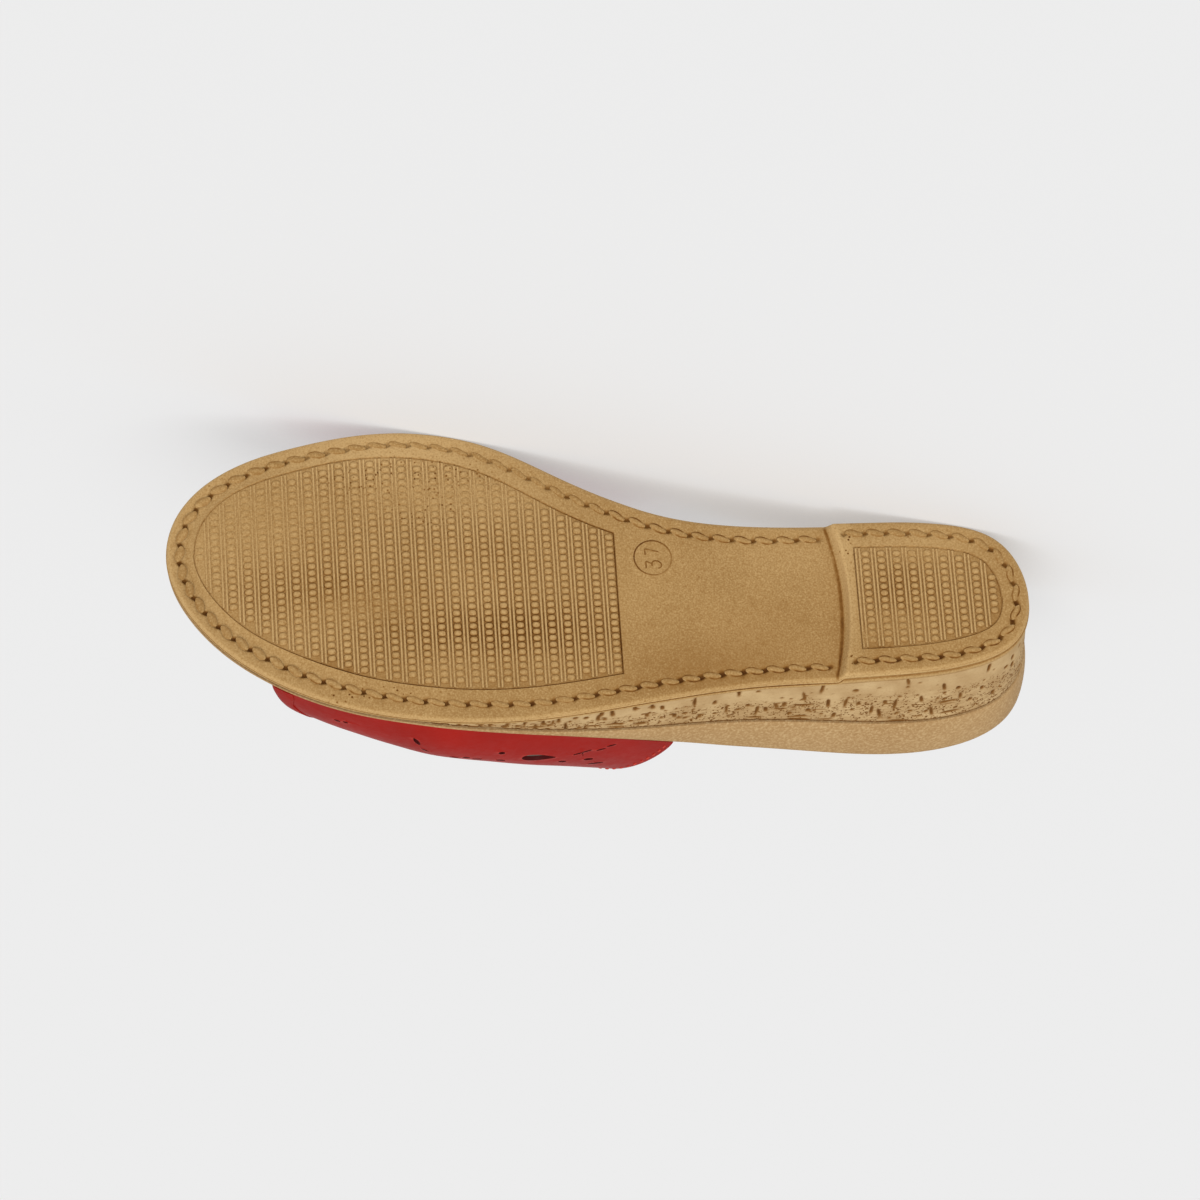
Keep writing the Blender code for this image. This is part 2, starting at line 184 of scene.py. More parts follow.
# Soft patches, each with its place, centre, reach each way and height.
# Where the tread has rubbed smooth
WORN = (
    ("toes", 224.0, 2.0, 22.0, 24.0, 0.25),
    ("big toe", 226.0, 22.0, 19.0, 13.0, 0.80),
    ("behind the toes", 196.0, -9.0, 15.0, 6.0, 0.70),
    ("ball, medial", 172.0, 25.0, 30.0, 7.0, 0.75),
    ("ball, lateral", 166.0, -30.0, 34.0, 4.0, 0.35),
    ("toe tip", 242.0, 2.0, 6.0, 16.0, 0.60),
    ("heel, lateral", 45.0, -19.0, 9.0, 5.0, 0.45),
    ("heel panel's corner", 54.0, -22.5, 3.2, 2.2, 1.0),
    ("heel panel, medial", 37.0, 3.0, 8.0, 3.0, 0.5),
)
# Where more or less dirt has gathered
DIRTY = (
    ("toes", 222.0, -3.0, 18.0, 9.0, 0.60),
    ("behind the toes", 205.0, -4.0, 22.0, 8.0, 0.35),
    ("little toe", 206.0, -30.0, 16.0, 6.0, 0.55),
    ("middle", 158.0, -18.0, 30.0, 8.0, 0.85),
    ("middle, back", 135.0, -14.0, 16.0, 10.0, 0.25),
    ("ball, medial edge", 175.0, 34.0, 30.0, 6.0, 0.20),
    ("heel, front", 46.0, -8.0, 7.0, 8.0, 0.65),
    ("heel, medial", 42.0, 22.0, 20.0, 8.0, -0.45),
)
# Stains of the rubber, negative where it is pale; the breast's pale patch is painted light on its sloped
# face, which lies in shade
STAINS_AND_PAINTED_LIGHT = (
    ("waist, lateral", 98.0, -31.0, 26.0, 10.0, 0.26),
    ("waist, middle", 82.0, -14.0, 14.0, 12.0, 0.09),
    # painted light: the breast's sloped face, which faces away from the key, painted pale
    ("breast", 60.3, 0.0, 1.3, 40.0, -0.70),
    ("toe", 246.0, 4.0, 24.0, 40.0, -0.30),
    ("ball, medial", 186.0, 40.0, 40.0, 12.0, -0.75),
    ("ball, inside", 164.0, 22.0, 28.0, 9.0, -0.45),
    ("waist, medial", 72.0, 4.0, 24.0, 10.0, -0.20),
    ("heel, medial", 38.0, 7.0, 18.0, 6.0, -0.35),
    ("heel's front edge", 57.5, 0.0, 2.8, 40.0, -0.40),
    ("heel, front corner", 50.0, -26.0, 9.0, 6.0, 0.08),
)
# Where burst bubbles crowd
PORES = (
    ("breast, medial", 57.0, 8.0, 2.5, 5.0, 1.0),
    ("breast, lateral", 58.0, -30.0, 2.5, 4.0, 1.0),
    ("ball, medial", 182.0, 31.0, 26.0, 6.0, 1.0),
    ("ball, inside", 176.0, 20.0, 12.0, 5.0, 1.0),
    ("edge, lateral", 205.0, -36.0, 30.0, 2.5, 1.0),
)
# Where a foot has pressed the sock
FOOT = (
    ("heel", 36.0, -10.0, 22.0, 14.0, 1.0),
    ("outer edge", 100.0, -20.0, 42.0, 9.0, 0.45),
    ("ball, lateral", 168.0, -18.0, 20.0, 16.0, 0.8),
    ("ball, medial", 184.0, 20.0, 20.0, 15.0, 1.0),
    ("big toe", 226.0, 22.0, 12.0, 9.0, 0.9),
    ("second toe", 229.0, 4.0, 7.0, 6.0, 0.6),
    ("third toe", 221.0, -8.0, 7.0, 5.5, 0.5),
    ("fourth toe", 211.0, -18.5, 7.0, 5.0, 0.45),
    ("little toe", 198.0, -28.0, 7.0, 5.0, 0.4),
)

FLAT_LENGTH = 98.0         # of the cut strap from its front to its back edge
FLAT_GIRTH = 150.0         # of the cut strap from foot to foot
SKIN_ROWS = 120
SKIN_COLUMNS = 360
# Soft folds of the cut strap
CREASES = (
    ("flex fold, front", 0.30 * FLAT_LENGTH, 0.42 * FLAT_GIRTH, 4.0, 30.0, -0.55),
    ("flex fold, middle", 0.44 * FLAT_LENGTH, 0.55 * FLAT_GIRTH, 5.0, 34.0, 0.45),
    ("flex fold, back", 0.58 * FLAT_LENGTH, 0.50 * FLAT_GIRTH, 4.5, 28.0, -0.50),
    ("lateral shoulder", 0.40 * FLAT_LENGTH, 0.24 * FLAT_GIRTH, 14.0, 8.0, -0.50),
    ("medial shoulder", 0.50 * FLAT_LENGTH, 0.78 * FLAT_GIRTH, 16.0, 9.0, -0.55),
    ("lateral side", 0.72 * FLAT_LENGTH, 0.12 * FLAT_GIRTH, 12.0, 10.0, 0.35),
    ("medial side", 0.30 * FLAT_LENGTH, 0.90 * FLAT_GIRTH, 12.0, 9.0, 0.35),
)

PANEL_DIRT_AND_SHADE = 0.36          # dirt and painted shade on a panel's floor where it is darkest
FOOT_DIRT_AND_SHADE = 1.05           # and at the feet of its studs and ribs
TOP_HIGHLIGHT = 0.58           # painted highlight: paleness of their tops
GROOVE_DIRT_AND_SHADE = 1.25         # dirt and painted shade in the groove round a panel
HEEL_BAND_DIRT_AND_SHADE = 0.35      # most dirt and painted shade on the heel's edge band

# Edge band from the cork to the tread: share of its height, how proud it is and
# its dirt and painted shade, dark in its dips, negative where its crests are painted pale as a highlight
BAND_PROFILE = (
    (0.0, -0.15, 1.0), (0.05, 0.08, 0.6), (0.12, 0.26, -0.3), (0.30, 0.34, -0.5), (0.46, 0.30, -0.3),
    (0.56, 0.14, 0.5), (0.64, -0.02, 1.0), (0.73, -0.04, 1.0), (0.80, 0.10, 0.2), (0.88, 0.18, -0.6),
    (1.0, 0.10, -0.8),
)
RIM_SHARES = (0.0, 0.03, 0.08, 0.16, 0.27, 0.40, 0.53, 0.66, 0.78, 0.86, 0.91)   # of the rim's height

RIB_STEP = 0.9             # length of a rib's segments
STUD_SINK = 0.03           # studs reach this far into their panel
STUD_PROFILE = ((0.20, 1.0), (0.34, 0.88), (0.26, 0.74), (0.20, 0.46))   # rise and taper of each step
SHORTEST_ROW = 2.5         # a panel narrower than this has no row of studs
SHORTEST_RIB = 3.0
FOREPART_ROWS = 28         # rows of studs tried from the first one on
HEEL_ROWS = 9
FOREPART_SQUARENESS = 0.26   # of the studs' feet, 0 for round ones and 1 for square ones
HEEL_SQUARENESS = 0.08
STUD_CLEAR = 0.40          # share of its width that a stud keeps from the groove
RIB_CLEAR = 0.15           # and what the ends of a rib keep from it, in millimetres

# Section of a moulded stitch: share of its half width, height above the margin and dirt, with painted shade
# at its outline
STITCH_SECTION = (
    (-1.0, -0.12, 0.3), (-0.86, 0.03, 1.0), (-0.64, 0.08, 1.0), (-0.46, 0.20, 0.15), (-0.18, 0.30, -0.05),
    (0.18, 0.30, -0.05), (0.46, 0.20, 0.15), (0.64, 0.08, 1.0), (0.86, 0.03, 1.0), (1.0, -0.12, 0.3),
)
STITCH_STEPS = 12

# Strokes of the moulded size number, from the middle of its ring: x to the toe, y medially
STROKES = (
    ("seven, bar", ((2.1, 0.8), (2.15, 1.8), (2.25, 2.9))),
    ("seven, stem", ((2.25, 2.9), (0.1, 2.35), (-2.0, 1.8))),
    ("three, bar", ((2.1, -3.35), (2.1, -2.2), (2.1, -1.03))),
    ("three, neck", ((2.1, -1.03), (1.3, -1.4), (0.44, -1.8))),
    ("three, bowl", ((0.35, -2.65), (0.35, -1.75), (-0.55, -0.92), (-1.6, -1.15), (-2.35, -2.05),
                     (-2.2, -2.85), (-1.3, -3.35))),
)

# Holes near the lateral foot of the strap: place along and round the foot,
# length and width in millimetres, turn in degrees and kind
LATERAL_HOLES = (
    (0.150, 0.052, 1.9, 1.2, 0, "dot"), (0.172, 0.048, 1.6, 1.1, 0, "dot"),
    (0.355, 0.062, 4.6, 1.5, 62, "leaf"), (0.382, 0.098, 3.2, 0.9, 35, "leaf"),
    (0.467, 0.123, 3.0, 1.5, 12, "dot"), (0.500, 0.115, 2.4, 1.5, 0, "dot"),
    (0.533, 0.120, 3.0, 1.4, -15, "dot"), (0.583, 0.075, 1.9, 1.9, 0, "dot"),
    (0.598, 0.116, 2.8, 1.6, 0, "dot"), (0.690, 0.088, 10.0, 4.2, -8, "wedge"),
    (0.767, 0.106, 2.6, 1.5, 10, "dot"), (0.783, 0.066, 3.0, 0.9, -40, "dot"),
    (0.800, 0.054, 3.0, 0.9, -40, "dot"), (0.833, 0.045, 3.0, 0.9, -38, "dot"),
    (0.850, 0.027, 3.0, 0.9, -36, "dot"), (0.830, 0.092, 3.0, 1.8, 0, "dot"),
    (0.870, 0.118, 4.4, 1.8, -30, "dot"),
)
# Sprays punched over the foot: place of the stem's foot and its heading
SPRAYS = (
    (0.80, 0.24, 172.0), (0.22, 0.29, 18.0), (0.78, 0.44, 196.0), (0.22, 0.56, -14.0), (0.78, 0.68, 168.0),
    (0.24, 0.80, 10.0),
)
BINDING_FLAP = 3.5         # the binding's flaps, narrower over the foot, lie further in than this
FLAP_WIDTH = 0.66
PUCKER = 0.06              # how far the edges of the punched holes stand up
SCORE_ALONG = 1.9          # fields that the flat strap is scored into
SCORE_ROUND = 1.7
LINING_GAP = 0.06
THREAD_GAP = 0.8           # between two sewn stitches
SOCK_THREAD = 0.55         # thickness
STRAP_THREAD = 0.62

# Section of the binding: distance from the strap's front edge and depth below its face
BINDING_PROFILE = (
    (6.5, 0.05), (6.45, -0.22), (6.1, -0.36), (4.0, -0.40), (1.6, -0.42), (0.3, -0.36), (-0.45, 0.10),
    (-0.75, 0.9), (-0.75, 1.6), (-0.45, 2.4), (0.3, 2.85), (2.5, 2.95), (5.6, 2.9), (5.8, 2.45), (2.5, 2.42),
    (0.25, 2.3), (0.02, 1.2), (0.25, -0.02), (3.0, -0.02), (6.5, 0.05),
)


# ------------------------------------------------------------------ curves
def smooth(xs, values, x):
    """Value of a smooth curve through (xs, values) at x, level past its ends."""
    x = np.clip(x, xs[0], xs[-1])
    steps = np.diff(values) / np.diff(xs)
    tangents = np.concatenate(([steps[0]], (steps[:-1] + steps[1:]) / 2, [steps[-1]]))
    turning = np.concatenate(([False], steps[:-1] * steps[1:] <= 0, [False]))
    tangents[turning] = 0.0
    i = np.clip(np.searchsorted(xs, x) - 1, 0, len(xs) - 2)
    span = xs[i + 1] - xs[i]
    t = (x - xs[i]) / span
    start = (1 + 2 * t) * (1 - t) ** 2 * values[i] + t * (1 - t) ** 2 * span * tangents[i]
    end = t * t * (3 - 2 * t) * values[i + 1] - t * t * (1 - t) * span * tangents[i + 1]
    return start + end


def read(table, name, x):
    """A named column of a table at x; the table's first row names its columns."""
    rows = np.array(table[1:])
    return smooth(rows[:, 0], rows[:, table[0].index(name)], x)


def layer(name, x):
    """A column of LAYERS at x."""
    return read(LAYERS, name, x)


def spring(x):
    """Height of the sprung tread above the ground."""
    return read(SPRING, "height", x)


def step_up(value, low, high):
    """0 below low, 1 above high and a soft step between them."""
    share = np.clip((value - low) / (high - low), 0.0, 1.0)
    return share * share * (3 - 2 * share)


def tread_height(x):
    """Underside of the sole: flat heel, raised waist, flat ball and sprung toe."""
    waist = WAIST_RISE * (WAIST_START - x) / (WAIST_START - BREAST_AT)
    ahead = step_up(x, BREAST_AT - BREAST_RUN / 2, BREAST_AT + BREAST_RUN / 2)
    return spring(x) + np.clip(waist, 0.0, WAIST_RISE) * ahead


def closed_curve(points, steps=400):
    """Closed cubic spline through the points, with no break in its bend."""
    points = np.array(points)
    ahead = np.roll(points, -1, 0)
    after = np.linalg.norm(ahead - points, axis=1)[:, None] ** 0.75
    before = np.roll(after, 1, 0)
    slopes = (ahead - points) / after
    own = np.eye(len(points))
    matrix = after * np.roll(own, -1, 1) + 2 * (before + after) * own + before * np.roll(own, 1, 1)
    tangents = np.linalg.solve(matrix, 3 * (after * np.roll(slopes, 1, 0) + before * slopes))
    t = np.linspace(0, 1, steps, endpoint=False)[:, None]
    pieces = []
    for start, end, span, leaving, arriving in zip(points, ahead, after, tangents, np.roll(tangents, -1, 0)):
        pieces.append((2 * t**3 - 3 * t**2 + 1) * start + (3 * t**2 - 2 * t**3) * end
                      + span * ((t**3 - 2 * t**2 + t) * leaving + (t**3 - t**2) * arriving))
    return np.vstack(pieces)


def closed(points):
    """A ring's points with the first again at the end."""
    return np.vstack([points, points[:1]])


def distances(points):
    """Distance along a path to each of its points."""
    return np.append(0.0, np.cumsum(np.linalg.norm(np.diff(points, axis=0), axis=1)))


def between(distance, along, points):
    """Places at some distance along a path, from its points and the distances to them."""
    return np.stack([np.interp(distance, along, column) for column in points.T], axis=-1)


def gap_to(place, along, total):
    """Distance from a place on a ring to others, negative before it."""
    return (along - place + total / 2) % total - total / 2


def halves(points):
    """The lateral and the medial half of a ring of matched stations, each from heel to toe."""
    half = len(points) // 2
    return points[:half + 1], np.vstack([points[:1], points[:half - 1:-1]])


def sides_of(curve):
    """A closed curve's lateral and medial sides, each from its heel end to its toe end."""
    curve = np.roll(curve, -curve[:, 0].argmin(), axis=0)
    toe = curve[:, 0].argmax()
    return curve[:toe + 1], np.vstack([curve[:1], curve[:toe - 1:-1]])


def sides_at(sides, x):
    """y of a lateral and a medial side at x."""
    return [np.interp(x, side[:, 0], side[:, 1]) for side in sides]


def matched(sides, xs):
    """A ring with stations at the same xs on the lateral and the medial side."""
    lateral, medial = (np.column_stack([xs, ys]) for ys in sides_at(sides, xs))
    return np.vstack([lateral, medial[-2:0:-1]])


def sole_edge():
    """The tread's edge as matched stations, closer together at the heel and at the toe."""
    sides = sides_of(closed_curve([row[1:] for row in OUTLINE]))
    heel, toe = sides[0][0, 0], sides[0][-1, 0]
    return matched(sides, heel + (toe - heel) * (1 - np.cos(np.linspace(0, math.pi, HALF + 1))) / 2)


def outward(ring_points):
    """Unit normals of a ring seen from above."""
    along = np.roll(ring_points, -1, 0)[:, :2] - np.roll(ring_points, 1, 0)[:, :2]
    normals = np.column_stack([-along[:, 1], along[:, 0]])
    normals /= np.linalg.norm(normals, axis=1)[:, None]
    return normals if normals[0, 0] < 0 else -normals


# The sole's edge from heel over the lateral side to toe and back, and heights at its stations
EDGE = sole_edge()
EDGE_NORMALS = outward(EDGE)
EDGE_X = EDGE[:, 0]
LATERAL_SIDE = np.arange(2 * HALF) <= HALF
EDGE_ALONG = distances(closed(EDGE))
SPRUNG = spring(EDGE_X)
TREAD = tread_height(EDGE_X)
BAND_TOP = layer("band", EDGE_X) + SPRUNG
CORK_TOP = layer("cork", EDGE_X) + SPRUNG
PLATFORM = layer("platform", EDGE_X) + SPRUNG


def ring(offset, height):
    """The sole's edge moved outwards by offset, at a height; both may vary along it."""
    plan = EDGE + EDGE_NORMALS * np.broadcast_to(offset, EDGE_X.shape)[:, None]
    return np.column_stack([plan, np.broadcast_to(height, EDGE_X.shape)])


def rounded(offset, height, inset, drop, turns):
    """Rings round a corner of the section, which ends at an offset and a height."""
    return [ring(offset - inset * (1 - math.cos(turn)), height - drop * (1 - math.sin(turn)))
            for turn in turns]


def side_offset(height):
    """Draft of the sole's side at a height; it runs past the heel breast without a step."""
    waist = np.clip((WAIST_START - EDGE_X) / (WAIST_START - BREAST_AT), 0, 1) * step_up(EDGE_X, 30.0, 90.0)
    return layer("draft", EDGE_X) * np.maximum(height - SPRUNG - WAIST_RISE * waist, 0)


def rim_height(share):
    """Height of the rim, share of the way up from the cork."""
    return CORK_TOP + GAP + (layer("rim", EDGE_X) - layer("cork", EDGE_X) - GAP) * share


def rim_offset(share):
    """Outer face of the rim, share of the way up from the cork."""
    return side_offset(rim_height(share)) + layer("bulge", EDGE_X) * math.sin(math.pi * share) ** 0.6


RIM_TOP = rim_height(1.0)
RIM_SIDE = rim_offset(1.0)
SOCK_SIDE = RIM_SIDE - LEDGE_WIDTH - 2 * GAP
SOCK_TOP = PLATFORM + GAP + SOCK_THICKNESS


def patches(table, x, y):
    """Height of each soft patch of a table at a place."""
    return [height * np.exp(-((x - at_x) / reach_x) ** 2 - ((y - at_y) / reach_y) ** 2)
            for _, at_x, at_y, reach_x, reach_y, height in table]


def pressed(table, x, y):
    """Soft patches that overlap up to 1."""
    return 1 - np.prod([1 - patch for patch in patches(table, x, y)], axis=0)


def waver(x, y, size, seed):
    """A soft pattern of hills and hollows from -1 to 1, about size across."""
    random = np.random.default_rng(seed)
    total = 0.0
    for _ in range(6):
        turn, phase = random.uniform(0, 2 * math.pi, 2)
        pitch = size * random.uniform(0.7, 1.6)
        total = total + np.sin((x * math.cos(turn) + y * math.sin(turn)) * 2 * math.pi / pitch + phase)
    return total / 6


# ------------------------------------------------------------------ modelling
def resting_place():
    """Matrix from the shoe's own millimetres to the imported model, from its heel mount."""
    heel = next(mount for mount in frame["record"]["mounts"] if mount["name"] == "heel_tread")
    up = -Vector(heel["axis"]).normalized()
    toe = Vector((up.z, 0, -up.x)).normalized()
    turn = Matrix((toe, up.cross(toe), up)).transposed()
    place = Vector(heel["pos_m"]) - turn @ (Vector(HEEL_SPOT) * MM)
    return Matrix.Translation(place) @ turn.to_4x4() @ Matrix.Scale(MM, 4)


REST = resting_place()


def mm(length):
    """A length property, which is in metres, in millimetres."""
    return length / MM


def deselect():
    """Leave edit mode and select nothing."""
    if bpy.context.object and bpy.context.object.mode != "OBJECT":
        bpy.ops.object.mode_set(mode="OBJECT")
    bpy.ops.object.select_all(action="DESELECT")


def pick(*pieces):
    """Select these pieces alone, the first one active."""
    deselect()
    for piece in pieces:
        piece.select_set(True)
    bpy.context.view_layer.objects.active = pieces[0]


def edit(piece):
    """Pick a piece and edit its mesh, all of it selected."""
    pick(piece)
    bpy.ops.object.mode_set(mode="EDIT")
    bpy.ops.mesh.select_all(action="SELECT")


def end_edit():
    """Turn the faces of the mesh in edit mode outwards and leave that mode."""
    bpy.ops.mesh.select_all(action="SELECT")
    bpy.ops.mesh.normals_make_consistent(inside=False)
    bpy.ops.object.mode_set(mode="OBJECT")


def extrude(*offsets):
    """Extrude the selection of the mesh in edit mode by each offset in turn."""
    for offset in offsets:
        bpy.ops.mesh.extrude_region_move(TRANSFORM_OT_translate={"value": offset})


def rod(corners, radius, steps, step):
    """A rod extruded along z from a flat end at the origin."""
    deselect()
    bpy.ops.mesh.primitive_circle_add(vertices=corners, radius=radius, fill_type="NGON", enter_editmode=True)
    extrude(*[(0, 0, step)] * steps)
    end_edit()
    return bpy.context.object


def places(piece):
    """A mesh's points as an array."""
    found = np.empty(len(piece.data.vertices) * 3)
    piece.data.vertices.foreach_get("co", found)
    return found.reshape(-1, 3)


def put(piece, points):
    """Move a mesh's points to an array of places."""
    piece.data.vertices.foreach_set("co", np.ascontiguousarray(points, dtype=np.float32).ravel())
    piece.data.update()


def grid(name, points):
    """A grid primitive put on rows of points; points has a row, a column and a place."""
    rows, columns = points.shape[0] - 1, points.shape[1] - 1
    deselect()
    bpy.ops.mesh.primitive_grid_add(x_subdivisions=columns, y_subdivisions=rows, size=1)
    piece = bpy.context.object
    piece.name = name
    put(piece, points.reshape(-1, 3))
    return piece


def wrapped(rings):
    """Rings as rows of a grid that closes on itself."""
    rows = np.array(rings)
    return np.concatenate([rows, rows[:, :1]], axis=1)


def rows_between(points, columns):
    """Rows across a ring of matched stations, from the heel to the toe."""
    lateral, medial = halves(points)
    share = np.linspace(0, 1, columns + 1)[None, :, None]
    return lateral[:, None] * (1 - share) + medial[:, None] * share


def share_across(border, points):
    """How far points lie from a ring's lateral side, 0, to its medial side, 1."""
    low, high = sides_at(halves(border), points[..., 0])
    return np.clip((points[..., 1] - low) / np.maximum(high - low, 1.0), 0, 1)


def paint(piece, name, values, domain="POINT"):
    """Store a number for each point or face of a mesh."""
    made = piece.data.attributes.get(name) or piece.data.attributes.new(name, "FLOAT", domain)
    made.data.foreach_set("value", np.ascontiguousarray(values, dtype=np.float32).ravel())


def unwrap(piece, flat_places):
    """Set the UV map from a flat place in metres for each point."""
    corners = np.empty(len(piece.data.loops), dtype=np.int32)
    piece.data.loops.foreach_get("vertex_index", corners)
    piece.data.uv_layers[0].data.foreach_set("uv", flat_places.astype(np.float32)[corners].ravel())


def joined(name, pieces):
    """Pieces as one object of this name."""
    pick(*pieces)
    if len(pieces) > 1:
        bpy.ops.object.join()
    pieces[0].name = name
    return pieces[0]


def weld(name, *pieces, distance=0.004):
    """Join pieces, merge what coincides and turn the faces outwards."""
    edit(joined(name, pieces))
    bpy.ops.mesh.remove_doubles(threshold=distance)
    bpy.ops.mesh.dissolve_degenerate(threshold=distance / 4)
    end_edit()
    return pieces[0]


def copy_at(piece, matrix):
    """A copy of a piece with its own mesh, moved by a matrix."""
    made = piece.copy()
    made.data = piece.data.copy()
    made.data.transform(matrix)
    bpy.context.collection.objects.link(made)
    return made


def laid(piece, here, heading, up):
    """A copy of a piece laid at a place, its x along the heading and its top upwards."""
    heading = Vector(heading).normalized()
    side = up.cross(heading).normalized()
    turn = Matrix((heading, side, heading.cross(side))).transposed().to_4x4()
    return copy_at(piece, Matrix.Translation(Vector(here)) @ turn)


def apply_modifier(piece, kind, **settings):
    """Add a modifier with these settings and apply it."""
    pick(piece)
    made = piece.modifiers.new(kind.title(), kind)
    for setting, value in settings.items():
        setattr(made, setting, value)
    bpy.ops.object.modifier_apply(modifier=made.name)


def finish_piece(piece, material, replaces=(), angle=50):
    """Smooth a piece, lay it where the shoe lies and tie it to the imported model."""
    pick(piece)
    bpy.ops.object.shade_smooth_by_angle(angle=math.radians(angle))
    piece.data.materials.clear()
    piece.data.materials.append(material)
    piece.data.transform(REST @ piece.matrix_world)
    piece.matrix_world = Matrix.Identity(4)
    piece.data.name = piece.name
    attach(piece, BODY)
    if replaces:
        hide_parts(*replaces)


# ------------------------------------------------------------------ materials
class Finish:
    """A material in the making; a text given as a value names one of the sandal's colours."""

    def __init__(self, name, roughness, specular, **shader):
        """A new material; further keywords name sockets of its shader."""
        self.colours = bpy.context.scene.sandal_colours
        self.material = bpy.data.materials.new(name)
        self.material.use_nodes = True
        self.tree = self.material.node_tree
        self.shader = self.tree.nodes["Principled BSDF"]
        self.fill(self.shader, {"Roughness": roughness, "Specular IOR Level": specular})
        self.fill(self.shader, {socket.replace("_", " "): value for socket, value in shader.items()})

    def fill(self, node, inputs):
        """Set a node's inputs, or link them where the value is another node's socket."""
        for key, value in inputs.items():
            if isinstance(value, bpy.types.NodeSocket):
                self.tree.links.new(value, node.inputs[key])
            else:
                named = isinstance(value, str)
                node.inputs[key].default_value = (*getattr(self.colours, value), 1.0) if named else value

    def node(self, kind, inputs=None, output=0, **options):
        """A new shader node's output."""
        made = self.tree.nodes.new("ShaderNode" + kind)
        for option, value in options.items():
            setattr(made, option, value)
        self.fill(made, inputs or {})
        return made.outputs[output]

    def place(self):
        """Place in the object."""
        return self.node("TexCoord", output="Object")

    def attribute(self, name):
        """A number painted on the mesh."""
        return self.node("Attribute", output="Fac", attribute_name=name)

    def noise(self, where, scale, detail=3.0, roughness=0.5):
        """Noise at a place, about 0 to 1."""
        return self.node("TexNoise", {"Vector": where, "Scale": scale, "Detail": detail,
                                      "Roughness": roughness})

    def stretched(self, where, along, up):
        """A place scaled along and up the side."""
        return self.node("Mapping", {"Vector": where, "Scale": (along, up, 1.0)})

    def cells(self, where, scale):
        """Distance from the middle of a cell."""
        return self.node("TexVoronoi", {"Vector": where, "Scale": scale})

    def ramp(self, value, low, high, start=0.0, end=1.0):
        """A value mapped from low..high to start..end and kept between them."""
        return self.node("MapRange", {"Value": value, "From Min": low, "From Max": high, "To Min": start,
                                      "To Max": end})

    def calc(self, operation, first, second):
        """Two values added, subtracted, multiplied or compared."""
        return self.node("Math", {0: first, 1: second}, operation=operation)

    def mix(self, share, first, second):
        """Two colours mixed by share."""
        return self.node("Mix", {0: share, 6: first, 7: second}, output=2, data_type="RGBA")

    def over(self, tone, colour, value, low, high, start=0.0, end=1.0):
        """A colour laid over a tone as a value runs from low to high."""
        return self.mix(self.ramp(value, low, high, start, end), tone, colour)

    def bump(self, height, strength, distance, **under):
        """Bump the surface by a height in shares of distance."""
        made = self.node("Bump", {"Strength": strength, "Distance": distance, "Height": height, **under})
        self.fill(self.shader, {"Normal": made})
        return made

    def done(self, tone):
        """The material with its tone."""
        self.fill(self.shader, {"Base Color": tone})
        return self.material


def rubber_finish():
    """Matt tan rubber: fine grain, cloudy tone, hollows darkened by dirt and painted shade, crests painted
    pale as highlights, and a few burst bubbles.
    """
    if "tan_rubber" in bpy.data.materials:
        return bpy.data.materials["tan_rubber"]
    rubber = Finish("tan_rubber", 0.78, 0.12)
    where = rubber.place()
    clouds = rubber.noise(where, 30.0, 4.0)
    grain = rubber.noise(where, 2000.0, 2.0, 0.6)
    grime_and_shading = rubber.attribute("grime_and_shading")
    tone = rubber.over("rubber", "rubber_shade", clouds, 0.32, 0.68)
    # negative paint lays the pale tone: painted highlights on crests, tops and the breast face, and pale
    # rubbed patches
    tone = rubber.over(tone, "rubber_pale_and_highlight", grime_and_shading, 0.0, -1.0)
    tone = rubber.over(tone, "rubber_pale_and_highlight", grain, 0.50, 0.72, 0.0, 0.6)
    tone = rubber.over(tone, "stain_and_shade", grain, 0.50, 0.28, 0.0, 0.45)
    mottle = rubber.ramp(rubber.noise(where, 210.0, 4.0, 0.65), 0.56, 0.74, 0.0, 0.18)
    uneven = rubber.ramp(rubber.noise(where, 750.0, 2.0), 0.25, 0.75, 0.65, 1.25)
    dirt_and_shading = rubber.calc("MULTIPLY", rubber.calc("ADD", grime_and_shading, mottle), uneven)
    scarce = rubber.ramp(rubber.noise(where, 170.0, 2.0), 0.62, 0.72, 0.0, 0.35)
    crowd = rubber.calc("ADD", scarce, rubber.attribute("pores"))
    bubble = rubber.calc("MULTIPLY", rubber.ramp(rubber.cells(where, 640.0), 0.16, 0.24, 1.0, 0.0), crowd)
    dirt_and_shading = rubber.calc("MAXIMUM", dirt_and_shading, bubble)
    # dirt and painted shade of the hollows darken the tone
    tone = rubber.over(tone, "stain_and_shade", dirt_and_shading, 0.0, 0.55)
    tone = rubber.over(tone, "grime_and_shading", dirt_and_shading, 0.35, 1.0)
    rubber.bump(rubber.calc("SUBTRACT", grain, bubble), 0.35, 0.00015)
    return rubber.done(tone)


